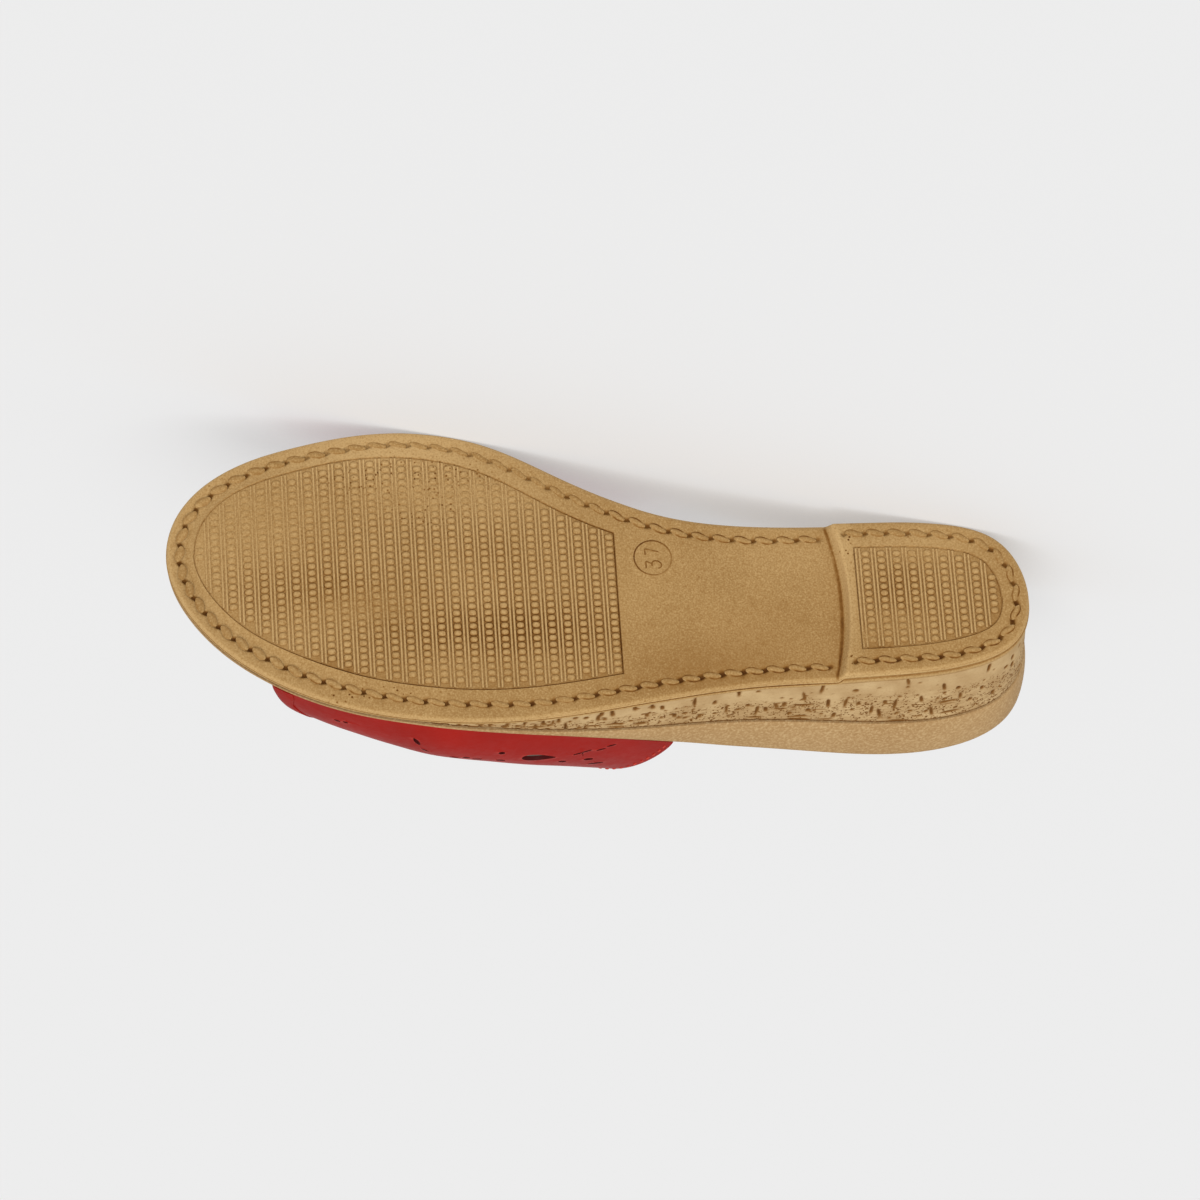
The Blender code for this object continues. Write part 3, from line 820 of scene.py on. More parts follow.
def cork_finish():
    """Cork effect: cream by the tread, streaked and speckled brown towards the rim."""
    cork = Finish("cork_effect", 0.8, 0.12)
    flat = cork.node("UVMap")
    streaks = cork.noise(cork.stretched(flat, 90.0, 1300.0), 1.0, 3.0, 0.6)
    flecks = cork.noise(cork.stretched(flat, 420.0, 1500.0), 1.0, 2.0, 0.55)
    clouds = cork.noise(flat, 110.0, 3.0)
    uneven = cork.calc("ADD", cork.attribute("share"), cork.calc("MULTIPLY", clouds, 0.6))
    rimward = cork.ramp(uneven, 0.60, 0.80)
    tone = cork.over("cork", "cork_shade", clouds, 0.35, 0.65)
    streaked = cork.calc("MULTIPLY", cork.ramp(streaks, 0.45, 0.70, 0.0, 0.6), rimward)
    tone = cork.mix(streaked, tone, "cork_streak")
    patchy = cork.calc("MULTIPLY", rimward, cork.ramp(cork.noise(flat, 260.0, 1.0), 0.40, 0.54))
    cracked = cork.calc("MULTIPLY", cork.ramp(flecks, 0.58, 0.68, 0.0, 0.6), patchy)
    specks = 0.0
    for scale, reach, crowd in ((1350.0, 0.38, 0.40), (760.0, 0.34, 0.43)):
        crowded = cork.ramp(cork.noise(flat, 0.3 * scale, 1.0), crowd, crowd + 0.1)
        grains = cork.ramp(cork.cells(flat, scale), reach, 0.6 * reach)
        found = cork.calc("MULTIPLY", grains, cork.calc("MULTIPLY", crowded, rimward))
        specks = cork.calc("MAXIMUM", specks, cork.calc("MULTIPLY", found, 0.75))
    dark = cork.calc("MAXIMUM", cork.calc("MAXIMUM", cracked, specks), cork.attribute("pit"))
    tone = cork.over(tone, "cork_streak", cork.noise(flat, 1300.0, 2.0, 0.6), 0.45, 0.25, 0.0, 0.35)
    tone = cork.over(tone, "cork_stain", dark, 0.05, 0.50)
    tone = cork.over(tone, "cork_pit", dark, 0.50, 1.00)
    cork.bump(cork.calc("SUBTRACT", cork.calc("MULTIPLY", streaks, 0.5), dark), 0.5, 0.0002)
    return cork.done(tone)


def rim_finish():
    """Smooth tan rim with a fine grain."""
    rim = Finish("tan_rim", 0.7, 0.15)
    where = rim.place()
    grain = rim.noise(where, 1250.0, 2.0, 0.6)
    tone = rim.over("rim", "rim_shade", rim.noise(where, 40.0, 3.0), 0.35, 0.65)
    tone = rim.over(tone, "cork", grain, 0.50, 0.68, 0.0, 0.75)
    tone = rim.over(tone, "cork_streak", grain, 0.50, 0.30, 0.0, 0.45)
    rim.bump(grain, 0.2, 0.0001)
    return rim.done(tone)


def sock_finish():
    """Smooth light brown leather of the sock, a little darker where the foot rests."""
    sock = Finish("sock_leather", 0.5, 0.4)
    where = sock.place()
    pebbles = sock.cells(where, 1150.0)
    tone = sock.over("sock", "sock_shade", sock.noise(where, 32.0, 4.0), 0.3, 0.7)
    tone = sock.mix(sock.calc("MULTIPLY", sock.attribute("foot"), 0.45), tone, "sock_worn")
    tone = sock.over(tone, "sock_worn", pebbles, 0.05, 0.35, 0.35, 0.0)
    sock.bump(pebbles, 0.25, 0.00012)
    return sock.done(tone)


def leather_finish():
    """Smooth red leather with a fine grain, a soft sheen, the edges of its punched holes painted pale as
    wear and a painted highlight, and their walls painted dark as shade.
    """
    leather = Finish("red_leather", 0.5, 0.09, Sheen_Weight=0.10, Sheen_Roughness=0.22,
                     Sheen_Tint=(1.0, 0.62, 0.56, 1.0))
    where = leather.place()
    pores = leather.cells(where, 1500.0)
    wrinkles = leather.noise(where, 420.0, 4.0, 0.6)
    tone = leather.over("leather", "leather_shade", leather.noise(where, 45.0, 4.0), 0.3, 0.7)
    tone = leather.over(tone, "leather_shade", pores, 0.02, 0.2, 0.35, 0.0)
    # edges of the punched holes painted pale: rubbed wear and a painted highlight
    tone = leather.over(tone, "leather_edge_wear_and_highlight", leather.attribute("rim"), 0.25, 0.8, 0.0, 0.4)
    # the holes' walls are painted dark as shade
    tone = leather.mix(leather.attribute("cut"), tone, "leather_hole_shade")
    leather.fill(leather.shader, {"Roughness": leather.ramp(wrinkles, 0.3, 0.7, 0.42, 0.56)})
    leather.bump(pores, 0.16, 0.0001, Normal=leather.bump(wrinkles, 0.14, 0.0003))
    return leather.done(tone)


def lining_finish():
    """Matt greyish brown lining."""
    lining = Finish("strap_lining", 0.8, 0.25)
    fibres = lining.noise(lining.place(), 900.0, 4.0, 0.65)
    lining.bump(fibres, 0.3, 0.0002)
    return lining.done(lining.over("lining", "lining_shade", fibres, 0.3, 0.7))


def thread_finish(name):
    """Waxed sewing thread, whose colour has the same name."""
    thread = Finish(name, 0.5, 0.4)
    twist = thread.noise(thread.place(), 2600.0, 1.0)
    dark = tuple(part * 0.6 for part in getattr(thread.colours, name))
    thread.bump(twist, 0.3, 0.0001)
    return thread.done(thread.over(name, (*dark, 1.0), twist, 0.35, 0.65))


# ------------------------------------------------------------------ tread unit
def by_side(table):
    """A table's lateral or medial column at each station of the sole's edge."""
    return np.where(LATERAL_SIDE, read(table, "lateral", EDGE_X), read(table, "medial", EDGE_X))


STITCHES = closed(ring(-by_side(STITCH_LINE), TREAD))
STITCHES_ALONG = distances(STITCHES[:, :2])
PANEL_SIDES = sides_of(ring(-(by_side(MARGIN) + 2 * GROOVE_STEP), 0.0)[:, :2])   # of the panels' floors


def turned(x, y, angle):
    """A flat place turned about the origin."""
    return x * math.cos(angle) - y * math.sin(angle), x * math.sin(angle) + y * math.cos(angle)


def stitched(x):
    """Where the moulded stitches show: they fade out on both sides of the heel breast."""
    return step_up(x - BREAST_AT, *STITCH_START) + (1 - step_up(x - BREAST_AT, *STITCH_END))


def stitch_runs(tread):
    """Distances along the stitch line at which there is a hole, for the forepart and the heel."""
    x, along, total = STITCHES[:-1, 0], STITCHES_ALONG[:-1], STITCHES_ALONG[-1]
    pitch = mm(tread.stitch_pitch) * (1 - 0.045 * step_up(x, 150.0, 185.0))
    counted = np.append(0.0, np.cumsum(np.diff(along) / pitch[1:]))
    ahead = np.flatnonzero(x > BREAST_AT + STITCH_CLEAR)
    first, last = counted[ahead[0]], counted[ahead[-1]]
    forepart = np.interp(np.linspace(first, last, round(last - first) + 1), counted, along)
    behind = np.flatnonzero(x < BREAST_AT - STITCH_CLEAR)
    reach = along[behind[behind <= HALF]].max()
    back = along[behind[behind > HALF]].min() - total
    heel = np.linspace(back, reach, round((reach - back) / pitch[0]) + 1) % total
    return forepart, heel


def from_hole(tread):
    """Distance along the stitch line from the nearest hole to each station, negative before it."""
    along, total = STITCHES_ALONG[:-1], STITCHES_ALONG[-1]
    gaps = np.array([gap_to(place, along, total) for place in np.concatenate(stitch_runs(tread))])
    return gaps[np.abs(gaps).argmin(axis=0), np.arange(len(along))]


def dirty(x, y):
    """Share of dirt that has stayed at a place: in soft patches, and less where the tread is worn."""
    more = sum(patches(DIRTY, x, y))
    return (0.20 + 0.80 * (1 - pressed(WORN, x, y))) * (0.52 + 0.30 * waver(x, y, 26.0, 5) + more)


def bow(points):
    """Curve what lies near the heel breast towards the heel."""
    share = share_across(ring(-EDGE_ROUND, 0.0), points)
    reach = np.interp(points[..., 0], (HEEL_PANEL_FRONT, BREAST_AT, BREAST_AT + BOW_AHEAD), (0.0, 1.0, 0.0))
    bowed = points.copy()
    bowed[..., 0] -= BREAST_BOW * 4 * share * (1 - share) * reach
    return bowed


def breast_lip(x):
    """Raised bead along the heel's front edge."""
    behind, reach, height = BREAST_LIP
    return -height * np.exp(-((x - BREAST_AT + behind) / reach) ** 2)


def panel_points(tread, plan, inside):
    """A panel sunk at a distance inside its border, a groove and then the floor, and its dirt and painted
    shade.
    """
    panel, groove = mm(tread.panel_depth), mm(tread.groove_depth)
    x, y = plan[..., 0], plan[..., 1]
    inside = np.minimum(inside, np.maximum(x - PANEL_BACK, HEEL_PANEL_FRONT - x))
    sunk = np.interp(inside, PANEL_STEPS[:3], (0.0, groove, panel))
    fade = np.where(x < BREAST_AT, 0.5, 1.0 - 0.4 * step_up(x, 200.0, 230.0))
    in_groove = GROOVE_DIRT_AND_SHADE * fade * np.interp(sunk, (panel, groove), (0.0, 1.0))
    on_floor = PANEL_DIRT_AND_SHADE * np.interp(sunk, (0.0, panel), (0.0, 1.0))
    share = dirty(x, y)
    points = np.stack([x, y, tread_height(x) + sunk + breast_lip(x)], axis=-1)
    return points, np.maximum(on_floor * share, in_groove * (0.45 + 0.55 * share))


def tread_points(tread):
    """Rings from the cork over the side to the panels with their dirt, painted shade and painted highlights,
    and rows inside them with theirs.
    """
    rings = [ring(side_offset(BAND_TOP) - CAP_INSET, BAND_TOP)]
    ring_dirt_and_shading = [np.zeros(2 * HALF)]
    lip = np.minimum(BAND_TOP - TREAD - EDGE_ROUND, mm(tread.lip_width))
    for share, proud, dirt_and_shading in BAND_PROFILE:
        height = BAND_TOP - share * lip
        rings.append(ring(side_offset(height) + proud, height))
        ring_dirt_and_shading.append(np.where(EDGE_X < BREAST_AT, min(dirt_and_shading, HEEL_BAND_DIRT_AND_SHADE), dirt_and_shading))
    turns = np.linspace(0, math.pi / 2, 5)
    rings += rounded(0.0, TREAD, EDGE_ROUND, -EDGE_ROUND, turns)
    # the rounded edge is painted pale as a highlight
    ring_dirt_and_shading += [np.full(2 * HALF, -0.6 * math.cos(turn)) for turn in turns]
    rings.append(ring(-MARGIN_FLAT, TREAD))
    ring_dirt_and_shading.append(np.zeros(2 * HALF))
    gap = from_hole(tread)
    show = stitched(EDGE_X)
    for inside in HOLE_RINGS:
        lengthwise, across = turned(gap, inside, HOLE_TURN)
        pit = show * np.exp(-(lengthwise / HOLE_REACH[0]) ** 4 - (across / HOLE_REACH[1]) ** 4)
        halo = show * np.exp(-(lengthwise / HALO_REACH[0]) ** 2 - (across / HALO_REACH[1]) ** 2)
        channel = mm(tread.channel_depth) * math.exp(-(inside / CHANNEL_REACH) ** 4) * show
        sunk = channel + mm(tread.hole_depth) * pit
        rings.append(ring(-(by_side(STITCH_LINE) + inside), TREAD + sunk + breast_lip(EDGE_X)))
        # the holes and a halo about them painted dark: dirt and painted shade
        ring_dirt_and_shading.append(np.maximum(pit, 0.55 * halo) * np.where(LATERAL_SIDE, 1.0, 0.75))
    for inside in PANEL_STEPS:
        sides = sides_of(ring(-(by_side(MARGIN) + inside), 0.0)[:, :2])
        kept = (SQUEEZE_BACK, SQUEEZE_FRONT)
        xs = np.interp(EDGE_X[:HALF + 1], (EDGE_X[0], *kept, EDGE_X[HALF]),
                       (sides[0][0, 0], *kept, sides[0][-1, 0]))
        for edge, way in ((PANEL_BACK, 1), (HEEL_PANEL_FRONT, -1)):
            first = np.abs(xs - edge).argmin()
            for k in range(3):
                xs[first + way * k] = edge + way * k * GROOVE_STEP
        border, dirt_and_shading = panel_points(tread, matched(sides, xs), inside)
        rings.append(border)
        ring_dirt_and_shading.append(dirt_and_shading)
    rows, row_dirt_and_shading = panel_points(tread, rows_between(rings[-1], ACROSS), PANEL_STEPS[-1])
    return wrapped(rings), wrapped(ring_dirt_and_shading), rows, row_dirt_and_shading


def dirt_and_shading_map(points, dirt_and_shading):
    """Dirt and painted shade of the tread's hollows, pale where painted as highlights, with soft stains, the
    breast's face painted pale as light, and a dark line along the heel breast.
    """
    x, y, z = points[..., 0], points[..., 1], points[..., 2]
    foot = BREAST_AT + BREAST_RUN / 2
    line = 1.05 * np.exp(-((x - foot) / 0.40) ** 2)
    shade = 0.16 * np.exp(-np.maximum(x - foot, 0) / 2.2) * (x > foot - 0.4)
    under = z < tread_height(x) + EDGE_ROUND
    return np.clip(dirt_and_shading + under * (np.maximum(line, shade) + sum(patches(STAINS_AND_PAINTED_LIGHT, x, y))), -1, 1.2)


def pore_map(points):
    """Where burst bubbles of the rubber crowd together."""
    x, y, z = points[..., 0], points[..., 1], points[..., 2]
    return np.max(patches(PORES, x, y), axis=0) * (z < tread_height(x) + EDGE_ROUND)


def model_tread_unit(tread):
    """Edge band with its lip, margin with stitch holes, sunk panels, waist and heel lift."""
    rings, ring_dirt_and_shading, rows, row_dirt_and_shading = tread_points(tread)
    side = 1 + len(BAND_PROFILE)
    skin = grid("tread_skin", np.concatenate([rings[:side], bow(rings[side:])]))
    field = grid("tread_field", bow(rows))
    for sheet, points, dirt_and_shading in ((skin, rings, ring_dirt_and_shading), (field, rows, row_dirt_and_shading)):
        paint(sheet, "grime_and_shading", dirt_and_shading_map(points, dirt_and_shading))
        paint(sheet, "pores", pore_map(points))
    piece = weld("tread_unit", skin, field, grid("tread_back", rows_between(rings[0, :-1], 2)))
    finish_piece(piece, rubber_finish(), ["outsole"], angle=60)


# ------------------------------------------------------------------ studs, ribs
def panel_span(x, heel):
    """From where to where a panel reaches at x, inside its groove, or None."""
    inside = x < HEEL_PANEL_FRONT - 2 * GROOVE_STEP if heel else x > PANEL_BACK + 2 * GROOVE_STEP
    if inside and PANEL_SIDES[0][0, 0] < x < PANEL_SIDES[0][-1, 0]:
        return sides_at(PANEL_SIDES, x)
    return None


def row_places(tread, heel):
    """x of each row of studs."""
    pitch = mm(tread.row_pitch)
    if heel:
        return [mm(tread.heel_row) - pitch * k for k in range(HEEL_ROWS)]
    return [mm(tread.forepart_row) + pitch * k for k in range(FOREPART_ROWS)]


def wear_down(piece, floor, full_height, broken):
    """Lower studs or ribs where they are worn or broken, paint their feet dark with dirt and painted shade,
    their tops pale as a painted highlight and stains over them, and seat them on the tread.
    """
    points = places(piece)
    x, y = points[:, 0], points[:, 1]
    rise = floor - points[:, 2]
    clean = 1 - pressed(WORN, x, y)
    left = (0.20 + 0.80 * clean) * (1 + 0.12 * waver(x, y, 3.1, 3)) * (1 - broken)
    points[:, 2] = floor - np.where(rise > 0, rise * left, rise)
    share = np.clip(rise / full_height, 0, 1)
    # feet painted dark with dirt and painted shade, tops painted pale as a highlight
    dirt_and_shading = FOOT_DIRT_AND_SHADE * (1 - share) ** 1.4 * dirty(x, y) - TOP_HIGHLIGHT * share**3 * clean
    paint(piece, "grime_and_shading", dirt_and_shading + 0.5 * sum(patches(STAINS_AND_PAINTED_LIGHT, x, y)))
    paint(piece, "pores", 0.8 * pore_map(points - (0.0, 0.0, 1.0)))
    points[:, 2] += tread_height(x)
    put(piece, points)


def stud(tread, squareness):
    """One low stud, a rounded pillow with a nearly square foot, modelled at the origin."""
    deselect()
    bpy.ops.mesh.primitive_circle_add(vertices=12, radius=0.5, fill_type="NGON", enter_editmode=True)
    piece = bpy.context.object
    bpy.ops.mesh.select_all(action="SELECT")
    bpy.ops.transform.rotate(value=math.radians(15), orient_axis="Z", center_override=(0, 0, 0))
    for rise, taper in STUD_PROFILE:
        extrude((0, 0, -rise * mm(tread.stud_height)))
        bpy.ops.transform.resize(value=(taper, taper, 1), center_override=(0, 0, 0))
    end_edit()
    points = places(piece)
    turn = np.arctan2(points[:, 1], points[:, 0])
    square = 1.0 / np.maximum(np.abs(np.cos(turn)), np.abs(np.sin(turn)))
    points[:, :2] *= (1 + squareness * (square - 1))[:, None]
    put(piece, points * (mm(tread.stud_length), mm(tread.stud_width), 1.0))
    return piece


def model_studs(tread, heel):
    """Rows of studs over a panel, each row an array of one stud; the heel's are rounder."""
    one = stud(tread, HEEL_SQUARENESS if heel else FOREPART_SQUARENESS)
    pitch, floor = mm(tread.stud_pitch), mm(tread.panel_depth)
    start = mm(tread.heel_stud if heel else tread.forepart_stud)
    clear = mm(tread.stud_width) * STUD_CLEAR
    rows = []
    for x in row_places(tread, heel):
        spans = [panel_span(x + way * mm(tread.stud_length) / 2, heel) for way in (0.8, 0, -0.4)]
        if not all(spans):
            continue
        low, high = max(span[0] for span in spans), min(span[1] for span in spans)
        if high - low < SHORTEST_ROW:
            continue
        first, last = math.ceil((low + clear - start) / pitch), math.floor((high - clear - start) / pitch)
        row = copy_at(one, Matrix.Translation((x, start + first * pitch, floor + STUD_SINK)))
        apply_modifier(row, "ARRAY", count=last - first + 1, use_relative_offset=False,
                       use_constant_offset=True, constant_offset_displace=(0, pitch, 0))
        rows.append(row)
    bpy.data.objects.remove(one)
    piece = joined("heel_studs" if heel else "forepart_studs", rows)
    x, y = places(piece)[:, :2].T
    wear_down(piece, floor, mm(tread.stud_height), 0.5 * (waver(x, y, 5.0, 21) > 0.72))
    finish_piece(piece, rubber_finish())


def rib(x, low, high, tread):
    """One fine rib across a panel, extruded from its end profile."""
    width, height = mm(tread.rib_width), mm(tread.rib_height)
    steps = max(2, round((high - low) / RIB_STEP))
    deselect()
    bpy.ops.mesh.primitive_plane_add(size=1, enter_editmode=True)
    piece = bpy.context.object
    mesh = bmesh.from_edit_mesh(piece.data)
    corners = ((-0.5, 0.10), (0.5, 0.10), (-0.3, -height), (0.3, -height))
    for vert, (across, rise) in zip(mesh.verts, corners):
        vert.co = (x + across * width, low, mm(tread.panel_depth) + rise)
    bmesh.update_edit_mesh(piece.data)
    bpy.ops.mesh.select_all(action="SELECT")
    extrude(*[(0, (high - low) / steps, 0)] * steps)
    end_edit()
    return piece


def model_ribs(tread, heel):
    """Pairs of fine ribs between the rows of studs."""
    made = []
    shift = mm(tread.row_pitch) / 2 * (1 if heel else -1)
    for row in row_places(tread, heel):
        for way in (-1, 1):
            x = row + shift + way * mm(tread.rib_gap) / 2
            span = panel_span(x, heel)
            if span and span[1] - span[0] >= SHORTEST_RIB:
                made.append(rib(x, span[0] + RIB_CLEAR, span[1] - RIB_CLEAR, tread))
    piece = joined("heel_ribs" if heel else "forepart_ribs", made)
    x, y = places(piece)[:, :2].T
    wear_down(piece, mm(tread.panel_depth), mm(tread.rib_height), 0.9 * (waver(x * 3.0, y, 14.0, 17) > 0.66))
    finish_piece(piece, rubber_finish(), angle=30)


# ------------------------------------------------------------------ stitches
def stitch_body(length, half_width, slant):
    """A moulded stitch, along x at the origin: a spindle that leans outwards at its start, and its dirt and
    painted shade.

    Its outline is painted dark with dirt, and darker as painted shade on the outer side at the start and on
    the inner side at the end.
    """
    count = len(STITCH_SECTION)
    piece = rod(count, 1, STITCH_STEPS, 1)
    t = np.repeat(np.linspace(0, 1, STITCH_STEPS + 1), count)
    side, rise, dirt_and_shading = np.tile(np.array(STITCH_SECTION).T, STITCH_STEPS + 1)
    swell = 0.25 + 0.75 * np.sin(np.pi * t) ** 0.7
    body = np.where(rise > 0.1, 0.35 + 0.65 * np.sin(np.pi * t) ** 0.6, 1.0)
    across = side * half_width * swell - slant * np.cos(np.pi * t)
    put(piece, np.column_stack([(t - 0.5) * length, across, -rise * body]))
    edit(piece)
    end_edit()
    # the one-sided darkening of the outline is painted shade
    early, late = (np.clip(3.2 * share, 0, 1) for share in (0.92 - t, t - 0.14))
    return piece, dirt_and_shading * np.where(dirt_and_shading > 0, np.where(side < 0, early, 0.75 * late), 1)


def model_stitches(tread):
    """Moulded stitches between the holes of the margin."""
    length = mm(tread.stitch_pitch) - HOLE_ROOM
    one, dirt_and_shading = stitch_body(length, mm(tread.stitch_width) / 2, mm(tread.stitch_slant))
    total = STITCHES_ALONG[-1]
    made = []
    for run in stitch_runs(tread):
        for start, step in zip(run, np.diff(run) % total):
            middle = start + step / 2
            here, ahead = (between((middle + reach) % total, STITCHES_ALONG, STITCHES)
                           for reach in (0.0, 1.0))
            heading = ahead - here
            show = float(stitched(here[0]))
            if show < 0.15:
                continue
            here = bow(here)
            x, y = here[:2]
            faint = max(step_up(x, 112.0, 150.0) * (0.85 if y > 0 else 0.5), step_up(x, 195.0, 225.0))
            here[2] = tread_height(x) + 0.04 + 0.25 * (1 - show) + 0.10 * faint
            made.append(laid(one, here, heading, Vector((0, 0, 1))))
            bold = (0.72 - 0.50 * faint) * (1 + 0.4 * waver(x, y, 11.0, 31))
            paint(made[-1], "grime_and_shading", dirt_and_shading * bold * (0.45 if y > 0 and x < BREAST_AT else 1.0))
    bpy.data.objects.remove(one)
    finish_piece(joined("moulded_stitches", made), rubber_finish(), angle=60)


# ------------------------------------------------------------------ size mark
def bead(path, width, height):
    """A low moulded bead along a path on the waist, pinched shut at both ends."""
    path = np.array(path)
    along = distances(path)
    even = np.linspace(0, along[-1], 4 * len(path))
    spine = np.column_stack([smooth(along, column, even) for column in path.T])
    heading = np.gradient(spine, axis=0)
    heading /= np.linalg.norm(heading, axis=1)[:, None]
    side = np.column_stack([-heading[:, 1], heading[:, 0]])
    swell = np.ones(len(even))
    swell[[0, -1]] = 0.0
    rows = []
    for turn in np.linspace(0, 2 * math.pi, 10, endpoint=False):
        plan = spine + side * (math.cos(turn) * width / 2 * swell)[:, None]
        rows.append(np.column_stack([plan, tread_height(plan[:, 0]) - math.sin(turn) * height * swell]))
    return weld("bead", grid("bead", np.array([*rows, rows[0]])))


def model_size_mark(mark):
    """Ring and size number moulded on the waist, the ring painted darker towards its front medial side."""
    middle = np.array([mm(value) for value in mark.centre[:2]])
    turns = np.linspace(0, 2 * math.pi, 73)
    paths = [mm(mark.radius) * np.column_stack([np.cos(turns), np.sin(turns)])]
    paths += [np.array(stroke) for _, stroke in STROKES]
    piece = joined("size_mark", [bead(middle + path, mm(mark.line), mm(mark.height)) for path in paths])
    away = places(piece)[:, :2] - middle
    reach = np.linalg.norm(away, axis=1)
    # the ring is painted darker towards its front medial side
    fade = 0.5 + 0.5 * (away[:, 0] * 0.8 + away[:, 1] * 0.6) / np.maximum(reach, 0.1)
    paint(piece, "grime_and_shading", np.where(reach > mm(mark.radius) - 1.0, 0.30 + 0.62 * fade, 0.55))
    finish_piece(piece, rubber_finish(), angle=60)


# ------------------------------------------------------------------ cork wedge
def cork_pits(cork):
    """Hollows of the cork: share of the way up, place along, half length, half height, depth and lean.

    Upright dashes lie all over, and long cracks and most specks near the rim.
    """
    random = np.random.default_rng(cork.seed)
    pits = []
    for k in range(cork.dashes):
        tall = random.uniform(0, 1) ** 1.3
        pits.append((random.uniform(0.06, 0.85), (k + random.uniform(0, 1)) / cork.dashes,
                     0.68 - 0.24 * tall, 0.45 + 2.3 * tall, random.uniform(0.65, 1.0),
                     random.uniform(-0.22, 0.12)))
    for _ in range(cork.cracks):
        pits.append((random.uniform(0.55, 0.98), random.uniform(0, 1), random.uniform(0.9, 3.2),
                     random.uniform(0.28, 0.48), random.uniform(0.4, 0.95), 0.0))
    for _ in range(cork.specks):
        size = random.uniform(0.32, 0.62)
        pits.append((random.uniform(0.0, 1.0) ** 0.6, random.uniform(0, 1), size,
                     size * random.uniform(0.6, 1.2), random.uniform(0.3, 0.8), 0.0))
    return pits


def cork_hollows(cork, up, tall):
    """How hollow the cork's face is at each point, 0 to 1."""
    found = np.zeros(up.shape)
    for share, place, half_length, half_height, depth, lean in cork_pits(cork):
        gap = gap_to(place * EDGE_ALONG[-1], EDGE_ALONG[:-1], EDGE_ALONG[-1])
        near = np.flatnonzero(np.abs(gap) < 2.2 * half_length + 1.0)
        gap, room = gap[near], tall[near]
        height = np.minimum(half_height, 0.42 * room)
        rise = up[:, near] - share * room
        ragged = 1 + 0.3 * waver(rise + place * 90, gap * 0.5, 2.4, 23)
        shape = np.exp(-np.abs((gap - lean * rise) / half_length / ragged) ** 3 - np.abs(rise / height) ** 3)
        found[:, near] = np.maximum(found[:, near], depth * shape * (room > 1.4))
    return found


def model_cork(cork):
    """Wedge with a pitted face, set in under the edge band and the rim."""
    shares = np.concatenate([[0.0, 0.012], np.linspace(0.03, 0.97, 52), [0.988, 1.0]])
    low = BAND_TOP + GAP
    tall = CORK_TOP - low
    up = shares[:, None] * tall
    hollow = cork_hollows(cork, up, tall)
    edge = np.maximum(np.clip(0.6 - up, 0, 1), np.clip(1 - (tall - up) / 1.1, 0, 1))
    ripple = 0.06 * waver(EDGE_ALONG[:-1] * 0.25, up * 1.4, 2.2, 11)
    sunk = CORK_INSET + mm(cork.pit_depth) * hollow + 0.25 * edge + ripple
    rows = [ring(side_offset(low + rise) - inset, low + rise) for rise, inset in zip(up, sunk)]
    face = grid("cork_face", wrapped(rows))
    paint(face, "pit", np.clip(wrapped(np.maximum(hollow, 1.3 * edge**1.3)), 0, 1))
    paint(face, "share", np.repeat(shares, 2 * HALF + 1))
    unwrap(face, np.column_stack([np.tile(EDGE_ALONG, len(shares)), wrapped(up).ravel()]) * MM)
    piece = weld("cork_wedge", face, *[grid("cork_cap", rows_between(rows[k], 2)) for k in (0, -1)])
    finish_piece(piece, cork_finish(), ["midsole"], angle=60)


# ------------------------------------------------------------------ footbed
def dish(x, share):
    """How far the footbed is raised under the arch and cupped under the heel, share of the way across."""
    cup = np.maximum(0.0, 1.0 - (x / CUP_END) ** 2) * 4 * share * (1 - share)
    support = np.maximum(0.0, 1.0 - ((x - ARCH_AT) / ARCH_REACH) ** 2) * 6.75 * share**2 * (1 - share)
    return ARCH_SUPPORT * support - CUP_DEPTH * cup


def dished(points, columns):
    """Rows across the footbed inside a ring, dished."""
    rows = rows_between(points, columns)
    rows[..., 2] += dish(rows[..., 0], np.linspace(0, 1, columns + 1))
    return rows


def model_rim():
    """Bulging rim with a rounded top, a ledge for the strap and a cupped platform."""
    rings = [ring(rim_offset(0.0) - CAP_INSET, rim_height(0.0))]
    rings += [ring(rim_offset(share), rim_height(share)) for share in RIM_SHARES]
    fall = 0.09 * (layer("rim", EDGE_X) - layer("cork", EDGE_X))
    rings += rounded(RIM_SIDE, RIM_TOP, RIM_ROUND, fall, np.linspace(math.pi / 8, math.pi / 2, 4))
    for inset, height in ((1.4, RIM_TOP), (LEDGE_WIDTH - 0.3, RIM_TOP), (LEDGE_WIDTH, RIM_TOP - 0.15),
                          (LEDGE_WIDTH + GAP, PLATFORM)):
        rings.append(ring(RIM_SIDE - inset, height))
    rings = np.array(rings)[:, ::2]
    piece = weld("footbed_rim", grid("rim_skin", wrapped(rings)), grid("rim_cup", dished(rings[-1], 12)),
                 grid("rim_under", rows_between(rings[0], 2)))
    finish_piece(piece, rim_finish(), ["footbed"], angle=45)


def model_sock(footbed):
    """Thin leather sock with a rounded edge and a pressed-in footprint."""
    rings = [ring(SOCK_SIDE, PLATFORM + GAP), ring(SOCK_SIDE, SOCK_TOP - SOCK_ROUND)]
    rings += rounded(SOCK_SIDE, SOCK_TOP, SOCK_ROUND, SOCK_ROUND, np.linspace(math.pi / 6, math.pi / 2, 3))
    rings = np.array(rings)[:, ::2]
    rows = dished(rings[-1], SOCK_COLUMNS)
    foot = pressed(FOOT, rows[..., 0], rows[..., 1])
    rows[..., 2] -= mm(footbed.print_depth) * foot
    top = grid("sock_top", rows)
    paint(top, "foot", foot)
    under = grid("sock_under", dished(rings[0], SOCK_COLUMNS))
    piece = weld("sock", grid("sock_skin", wrapped(rings)), top, under)
    finish_piece(piece, sock_finish(), ["insole"])


